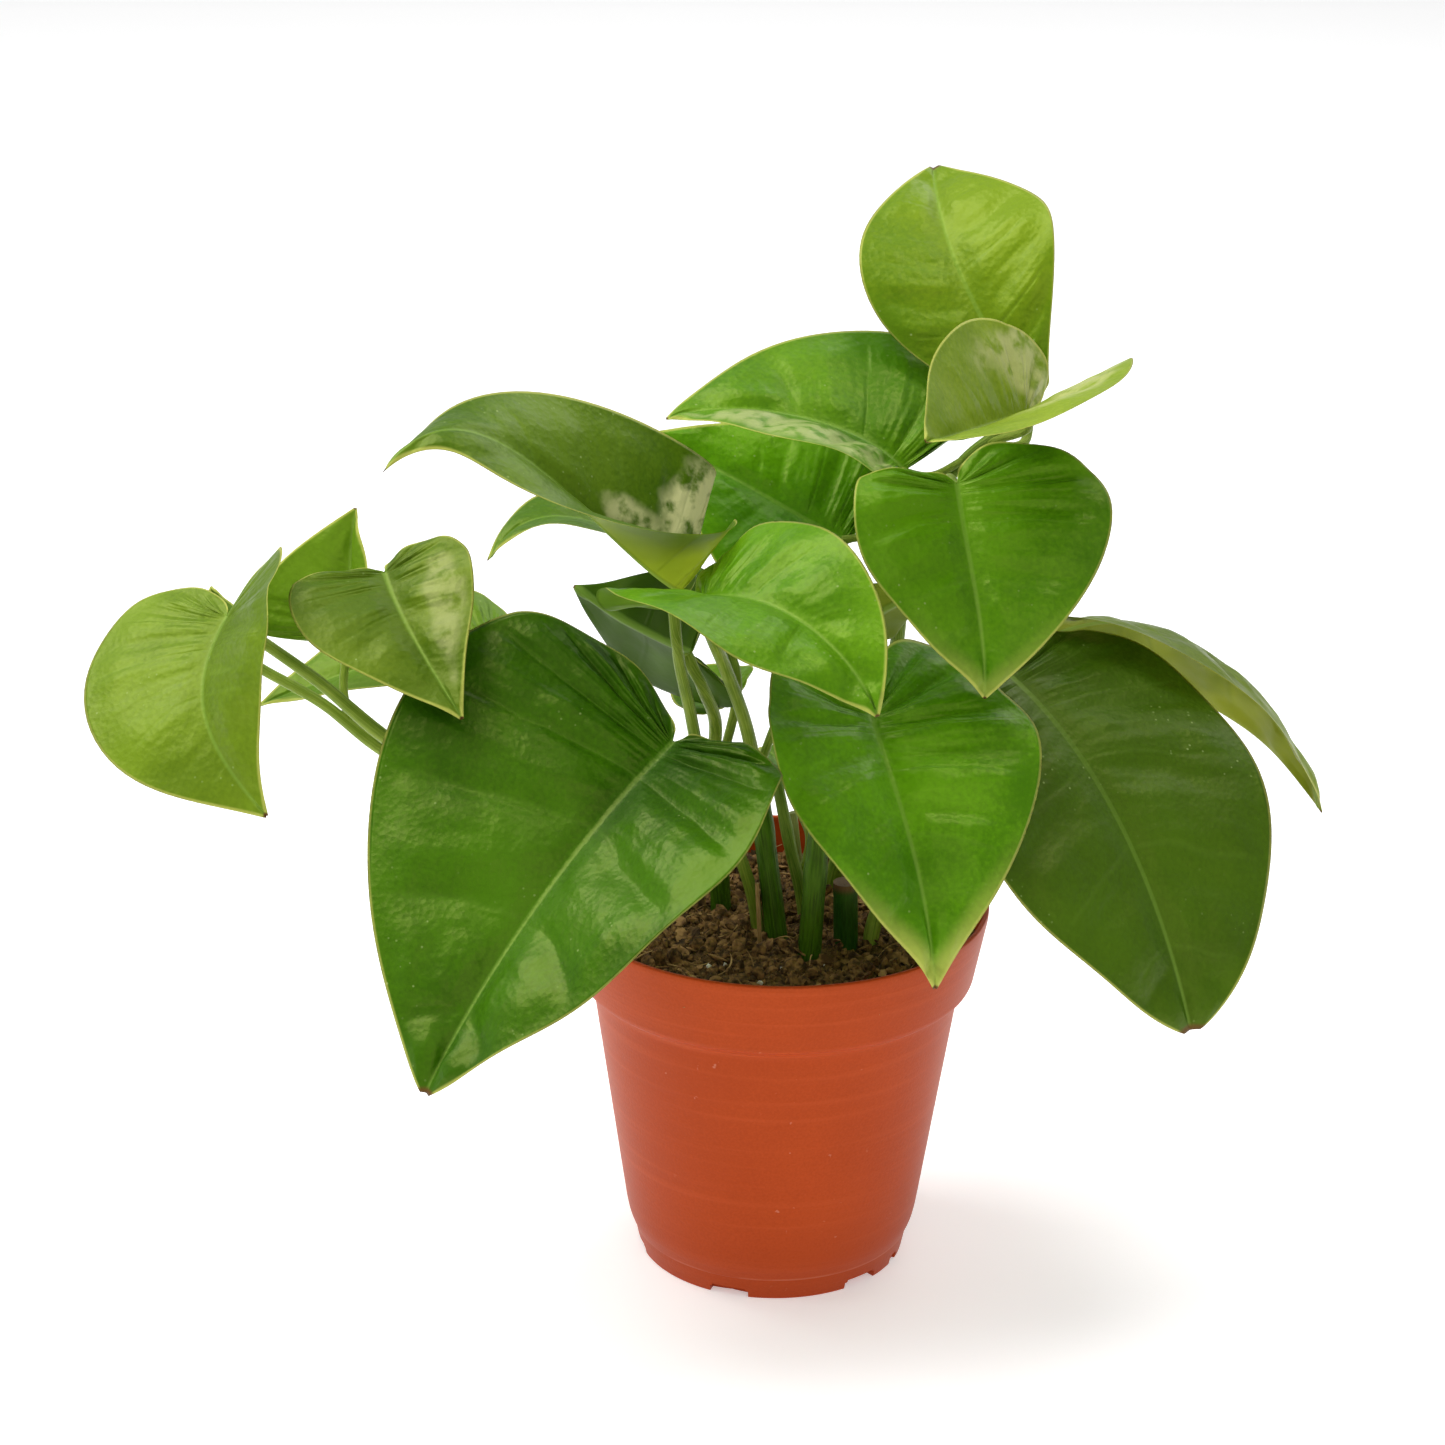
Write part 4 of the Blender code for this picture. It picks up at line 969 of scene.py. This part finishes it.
INSIDE = rounded(
    [(RIM - 2 * LIP_ROUND - 0.3, POT_HEIGHT - 3.0), (BAND - WALL, BAND_FOOT + 1.0),
     (BAND - WALL - 0.6, BAND_FOOT), (NECK - WALL, NECK_HEIGHT + 1.3), (HEEL - WALL, HEEL_HEIGHT),
     (FOOT - 0.2, FLOOR_THICK + 1.2), (FOOT - 1.4, FLOOR_THICK), (0, FLOOR_THICK)],
    [0, 0.3, 0.3, 0.3, 1.0, 0.3, 0.3, 0])
print("the section has", len(OUTSIDE + LIP + INSIDE), "points")

# %% Turning the pot and cutting its slots
def as_mesh(shape, name):
    """Keeps what was built in a bmesh as a mesh, and frees the bmesh."""
    mesh = bpy.data.meshes.new(name)
    shape.to_mesh(mesh)
    shape.free()
    return mesh


def as_object(mesh, name):
    """A new object in the scene that holds the mesh."""
    made = bpy.data.objects.new(name, mesh)
    bpy.context.scene.collection.objects.link(made)
    return made


def turned(name, line, steps):
    """Turns a section, in millimetres of radius and height, into a closed mesh with its faces outwards."""
    shape = bmesh.new()
    rings = []
    for place in line:
        if place.x < 0.001:
            rings.append([shape.verts.new((0, 0, place.y * MM))] * steps)
            continue
        spokes = [2 * pi * k / steps for k in range(steps)]
        rings.append([shape.verts.new((place.x * MM * cos(spoke), place.x * MM * sin(spoke), place.y * MM))
                      for spoke in spokes])
    for low, high in zip(rings, rings[1:]):
        for k in range(steps):
            face = dict.fromkeys((low[k], low[(k + 1) % steps], high[(k + 1) % steps], high[k]))
            shape.faces.new(list(face))
    bmesh.ops.recalc_face_normals(shape, faces=shape.faces)
    return as_mesh(shape, name)


def slot_cutter(angle, width):
    """A block with rounded corners that stands in the foot's edge at this angle."""
    shape = bmesh.new()
    bmesh.ops.create_cube(shape, size=1.0)
    bmesh.ops.scale(shape, verts=shape.verts, vec=(width * MM, SLOT_DEPTH * MM, 2 * SLOT_HEIGHT * MM))
    inward = [edge for edge in shape.edges if abs(edge.verts[0].co.y - edge.verts[1].co.y) > MM]
    bmesh.ops.bevel(shape, geom=inward, offset=SLOT_ROUND * MM, segments=SLOT_ROUND_STEPS, affect="EDGES")
    bmesh.ops.translate(shape, verts=shape.verts, vec=(0, -FOOT * MM, 0))
    bmesh.ops.transform(shape, verts=shape.verts, matrix=Matrix.Rotation(radians(angle), 4, "Z"))
    return as_object(as_mesh(shape, "slot cutter"), "slot cutter")


pot = as_object(turned("turned_pot", OUTSIDE + LIP + INSIDE, TURN_STEPS), "turned_pot")
slots = [(SLOT_FIRST + 360 * k / SLOT_COUNT, SLOT_WIDTH) for k in range(SLOT_COUNT)] + [NARROW_SLOT]
for angle, width in slots:
    cutter = slot_cutter(angle, width)
    boolean = pot.modifiers.new("slot", "BOOLEAN")
    boolean.object = cutter
    boolean.operation = "DIFFERENCE"
    graph = bpy.context.evaluated_depsgraph_get()
    cut_mesh = bpy.data.meshes.new_from_object(pot.evaluated_get(graph))
    pot.modifiers.clear()
    pot.data = cut_mesh
    bpy.data.objects.remove(cutter)
pot.data.shade_smooth()
pot.data.set_sharp_from_angle(angle=radians(40))
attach(pot, "root")
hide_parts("pot")
print("pot:", len(pot.data.polygons), "faces and", len(slots), "slots")

# %% [markdown]
# The plastic is matt terracotta. It isn't one flat colour: it is faintly clouded, rings run round
# it from the mould, and small scuffs are paler. A pale line marks the seam just above the foot.
# Noise in space gives all of these, and squeezing it along the height makes clouds into rings.
# The lowest 30 mm are painted darker towards the floor, as painted shade under the heel.

# %% The pot's plastic
PLASTIC_DEEP, PLASTIC_LIGHT = (0.400, 0.047, 0.007), (0.475, 0.061, 0.010)
RING_PALE, SCUFF_PALE = (0.580, 0.090, 0.022), (0.620, 0.260, 0.160)
SEAM_PALE, PAINTED_FOOT_SHADE = (0.640, 0.200, 0.110), (0.300, 0.036, 0.010)
SEAM_HEIGHT, PLASTIC_ROUGHNESS = 6.0, 0.46


def plastic_paint():
    """Matt terracotta plastic with mould rings, scuffs, a seam and painted shade towards its foot."""
    made, tree, shader, place = paint_start("terracotta plastic", PLASTIC_ROUGHNESS, Specular_IOR_Level=0.22,
                                            Specular_Tint=(1.0, 0.7, 0.4, 1.0))
    cloud, grain = noise(tree, place, 18.0, 4.0), noise(tree, place, 1600.0, 2.0)
    _, _, height = axes_of(tree, place)
    colour = mixed(tree, (cloud * 0.6 + grain * 0.4).ramp(0.34, 0.66), PLASTIC_DEEP, PLASTIC_LIGHT)
    squeezed = node(tree, "ShaderNodeMapping", Vector=place, Scale=Vector((0.15, 0.15, 6.0)))
    rings = noise(tree, squeezed, 90.0, 2.0)
    colour = mixed(tree, rings.ramp(0.5, 0.75) * 0.25, colour, RING_PALE)
    scuff = noise(tree, place, 400.0, 3.0).ramp(0.70, 0.76) * noise(tree, place, 30.0).ramp(0.48, 0.62)
    colour = mixed(tree, scuff * 0.5, colour, SCUFF_PALE)
    seam = abs(height - SEAM_HEIGHT * MM).ramp(0.0004, 0.0001) * noise(tree, place, 60.0).ramp(0.35, 0.60)
    colour = mixed(tree, seam * 0.5, colour, SEAM_PALE)
    # Painted shade: the plastic is darkened towards the bottom, where the heel and the floor shade it.
    colour = mixed(tree, height.ramp(0.030, 0.004) * 0.25, colour, PAINTED_FOOT_SHADE)
    link(tree, colour, shader, "Base Color")
    bump(tree, shader, grain * 0.00010 + rings * 0.00015 + scuff * 0.00004, 1.0, 0.5)
    link(tree, (cloud - 0.5) * 0.15 + PLASTIC_ROUGHNESS + scuff * 0.2, shader, "Roughness")
    return made


pot.data.materials.clear()
pot.data.materials.append(plastic_paint())
print("pot painted")

# %% [markdown]
# ## The soil
# Potting mix is a dark, lumpy bed of peat with pieces lying in it. Bump alone can't give the lumps,
# because they shade and hide each other when they are seen from low down. So the bed is a turned
# block with a fine top that noise really pushes up and down, and bump adds the smallest grains.

# %% The bed of peat
SOIL_EDGE, SOIL_MIDDLE, GAP = 86.3, 89.0, 0.3
LUMP_ROOM = 0.8                       # the smooth bed lies this much lower, to leave room for its lumps
BED_RINGS, BED_STEPS = 90, 180
LUMP, CRUMB = 7.0, 4.0                # the whole range of the push that each of the two noises gives
edge = BAND - WALL - GAP + (RIM - BAND) / (POT_HEIGHT - BAND_FOOT) * (SOIL_EDGE - BAND_FOOT - 1.0)
shares = [1 - k / BED_RINGS for k in range(1, BED_RINGS + 1)]
top_line = [Vector((edge * share, SOIL_EDGE + (SOIL_MIDDLE - SOIL_EDGE) * (1 - share ** 2) - LUMP_ROOM))
            for share in shares]
wall_line = [Vector(p) for p in ((0, FLOOR_THICK + GAP), (FOOT - 2.0, FLOOR_THICK + GAP),
                                 (HEEL - WALL - GAP, HEEL_HEIGHT), (NECK - WALL - GAP, NECK_HEIGHT + 1.8),
                                 (BAND - WALL - GAP, BAND_FOOT + 1.4), (edge, SOIL_EDGE - 1.2))]


def peat_paint():
    """Dark peat with brown crumbs and a few tan grains."""
    made, tree, shader, place = paint_start("peat", 0.92, Specular_IOR_Level=0.25)
    clumps, crumbs = noise(tree, place, 130.0, 4.0), noise(tree, place, 900.0, 4.0)
    dark, brown, tan = (0.034, 0.018, 0.005), (0.210, 0.115, 0.034), (0.420, 0.270, 0.110)
    colour = mixed(tree, (clumps * 0.5 + crumbs * 0.5).ramp(0.38, 0.64), dark, brown)
    colour = mixed(tree, noise(tree, place, 1500.0).ramp(0.64, 0.72) * 0.7, colour, tan)
    link(tree, colour, shader, "Base Color")
    bump(tree, shader, clumps * 0.002 + crumbs * 0.0012, 1.0, 1.0)
    return made


def lumps_tree():
    """Pushes the top of the bed up and down by noise, and leaves its wall alone."""
    tree = bpy.data.node_groups.new("lumpy bed", "GeometryNodeTree")
    size = inputs_of(tree, Lump="F", Crumb="F")
    here = place_in(tree)
    _, _, height = axes_of(tree, here)
    on_top = height.ramp((SOIL_EDGE - 1.1) * MM, (SOIL_EDGE - 0.5) * MM)
    big, small = noise(tree, here, 90.0, 2.0), noise(tree, here, 420.0, 3.0)
    push = on_top * ((big - 0.5) * size["Lump"] + (small - 0.5) * size["Crumb"])
    moved = node(tree, "GeometryNodeSetPosition", Geometry=size["Geometry"], Offset=arrow_of(tree, Z=push))
    return finished(tree, node(tree, "GeometryNodeSetShadeSmooth", Geometry=moved))


bed_mesh = turned("peat_bed", wall_line + top_line, BED_STEPS)
bed_mesh.materials.append(peat_paint())
soil = grown("lumpy_bed", lumps_tree(), bed_mesh, Lump=LUMP * MM, Crumb=CRUMB * MM)
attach(soil, "root")
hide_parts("soil")
print("bed of peat:", len(soil.data.polygons), "faces")

# %% [markdown]
# Crumbs, bark chips, white perlite and tan fibres lie on the peat, well over a thousand of them.
# Each kind is one small shape of 20 to 80 faces: a ball pushed out of shape, or a bent thread.
# Finer ones would only add faces that nobody sees.

# %% The small shapes in the mix
KNOTTY = 0.25


def blob(name, squash, knots, seed):
    """A low lump: a ball pushed about by waves of its own seed. A knotty one gets more faces."""
    shape = bmesh.new()
    bmesh.ops.create_icosphere(shape, subdivisions=1 if knots < KNOTTY else 2, radius=1.0)
    for vertex in shape.verts:
        x, y, z = vertex.co
        push = 1 + knots * (sin(3.1 * x + seed) + sin(4.3 * y + 2 * seed) + sin(3.7 * z + 3 * seed)) / 1.5
        vertex.co = Vector((x * squash[0], y * squash[1], z * squash[2])) * push * MM
    return as_mesh(shape, name)


def thread(name, length, radius, bend):
    """A thin bent fibre with a square section, closed at both ends."""
    steps = 8
    corners, faces = [], []
    for step in range(steps + 1):
        t = step / steps - 0.5
        thick = radius * (1.1 - abs(t) * 1.6)
        middle = Vector((t * length, bend * (t * t - 0.25) * 4, 0.3 * bend * sin(5 * t)))
        corners += [middle + Vector((0, a * thick, b * thick)) for a, b in ((1, 0), (0, 1), (-1, 0), (0, -1))]
    for step in range(steps):
        for k in range(4):
            low, turn = 4 * step, (k + 1) % 4
            faces.append((low + k, low + turn, low + 4 + turn, low + 4 + k))
    faces += [(3, 2, 1, 0), tuple(4 * steps + k for k in range(4))]
    shape = bmesh.new()
    knots = [shape.verts.new(corner * MM) for corner in corners]
    for face in faces:
        shape.faces.new([knots[index] for index in face])
    bmesh.ops.recalc_face_normals(shape, faces=shape.faces)
    return as_mesh(shape, name)


def mix_paint(name, deep, light, scale):
    """A rough finish for one kind of piece in the mix."""
    made, tree, shader, place = paint_start(name, 0.9, Specular_IOR_Level=0.25)
    colour = mixed(tree, noise(tree, place, scale, 3.0).ramp(0.36, 0.64), deep, light)
    link(tree, colour, shader, "Base Color")
    bump(tree, shader, noise(tree, place, scale * 4) * 0.0004, 1.0, 0.8)
    return made


print("small shapes ready")

# %% [markdown]
# Placing so many pieces by hand is out of the question, and dropping them with physics is slow and
# hard to repeat. One tree scatters them instead: it strews points on the bed's top, puts a
# copy of the small shape on each, and turns and sizes each copy at random from a fixed seed. The
# copies are made real at the end, because the export drops instances.

# %% Scattering them over the bed
MIX_RADIUS, MIX_LOW = 46.5, 83.0    # pieces lie within this radius and above this height
UPRIGHT = 0.2                       # and on faces whose normals rise at least this much


def scatter_tree():
    """Drops copies of one small shape on the top of the bed."""
    tree = bpy.data.node_groups.new("scatter", "GeometryNodeTree")
    size = inputs_of(tree, Density="F", Smallest="F", Largest="F", Lift="F", Lean="F", Seed="I", Finish="M",
                     Shape="O")
    x, y, height = axes_of(tree, place_in(tree))
    _, _, upright = axes_of(tree, Arrow(tree, tree.nodes.new("GeometryNodeInputNormal").outputs[0]))
    from_axis = (x ** 2.0 + y ** 2.0) ** 0.5
    on_top = height.above(MIX_LOW * MM) * upright.above(UPRIGHT) * (from_axis * -1.0).above(-MIX_RADIUS * MM)
    points = node(tree, "GeometryNodeDistributePointsOnFaces", Mesh=size["Geometry"], Selection=on_top,
                  Density=size["Density"], Seed=size["Seed"])
    points = node(tree, "GeometryNodeSetPosition", Geometry=points, Offset=arrow_of(tree, Z=size["Lift"]))
    shape = node(tree, "GeometryNodeObjectInfo", result="Geometry", Object=size["Shape"])
    lean = size["Lean"]
    turn = node(tree, "FunctionNodeRandomValue", settings={"data_type": "FLOAT_VECTOR"}, Seed=size["Seed"],
                Min=arrow_of(tree, X=lean * -1.0, Y=lean * -1.0),
                Max=arrow_of(tree, X=lean, Y=lean, Z=2 * pi))
    scale = node(tree, "FunctionNodeRandomValue", result=1, Seed=size["Seed"] + 1.0,
                 Min=size["Smallest"], Max=size["Largest"])
    copies = node(tree, "GeometryNodeInstanceOnPoints", Points=points, Instance=shape, Scale=scale,
                  Rotation=node(tree, "FunctionNodeEulerToRotation", Euler=turn))
    return finished(tree, node(tree, "GeometryNodeSetMaterial", Geometry=copies, Material=size["Finish"]))


mix_tree = scatter_tree()
CRUMB_PEAT = mix_paint("peat crumb", (0.050, 0.026, 0.008), (0.260, 0.140, 0.045), 500.0)
BARK = mix_paint("bark", (0.110, 0.052, 0.018), (0.380, 0.215, 0.080), 300.0)
PERLITE = mix_paint("perlite", (0.560, 0.520, 0.430), (0.800, 0.780, 0.700), 500.0)
FIBRE = mix_paint("coir", (0.240, 0.130, 0.045), (0.560, 0.360, 0.150), 200.0)
# Each kind: its name and shape, how many there are to a square metre, the least and the greatest
# scale, how far it is lifted in millimetres, how far it may lean in radians, and its finish.
MIX = [
    ("peat_crumbs", blob("crumb", (1.0, 0.8, 0.7), 0.2, 1.3), 260000.0, 0.45, 1.5, 0.2, 3.0, CRUMB_PEAT),
    ("peat_lumps", blob("lump", (1.0, 0.85, 0.6), 0.3, 4.1), 26000.0, 1.3, 2.9, 0.1, 3.0, CRUMB_PEAT),
    ("bark_chips", blob("chip", (1.6, 0.7, 0.25), 0.28, 2.2), 20000.0, 0.8, 2.2, 0.5, 0.7, BARK),
    ("perlite_bits", blob("bit", (1.0, 0.9, 0.8), 0.22, 5.0), 4200.0, 0.3, 1.0, 0.5, 3.0, PERLITE),
    ("coir_fibres", thread("fibre", 9.0, 0.16, 1.6), 16000.0, 0.5, 1.7, 0.9, 0.6, FIBRE),
]
FIRST_SEED = 11
for seed, (name, mesh, density, smallest, largest, lift, lean, finish) in enumerate(MIX, FIRST_SEED):
    pattern = as_object(mesh, name + " pattern")
    mix = grown(name, mix_tree, soil.data.copy(), Density=density, Smallest=smallest, Largest=largest,
                Lift=lift * MM, Lean=lean, Seed=seed, Finish=finish, Shape=pattern)
    bpy.data.objects.remove(pattern)
    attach(mix, "root")
    "fibre" if name == "coir_fibres" else "soil"
    print(name + ":", len(mix.data.polygons), "faces")
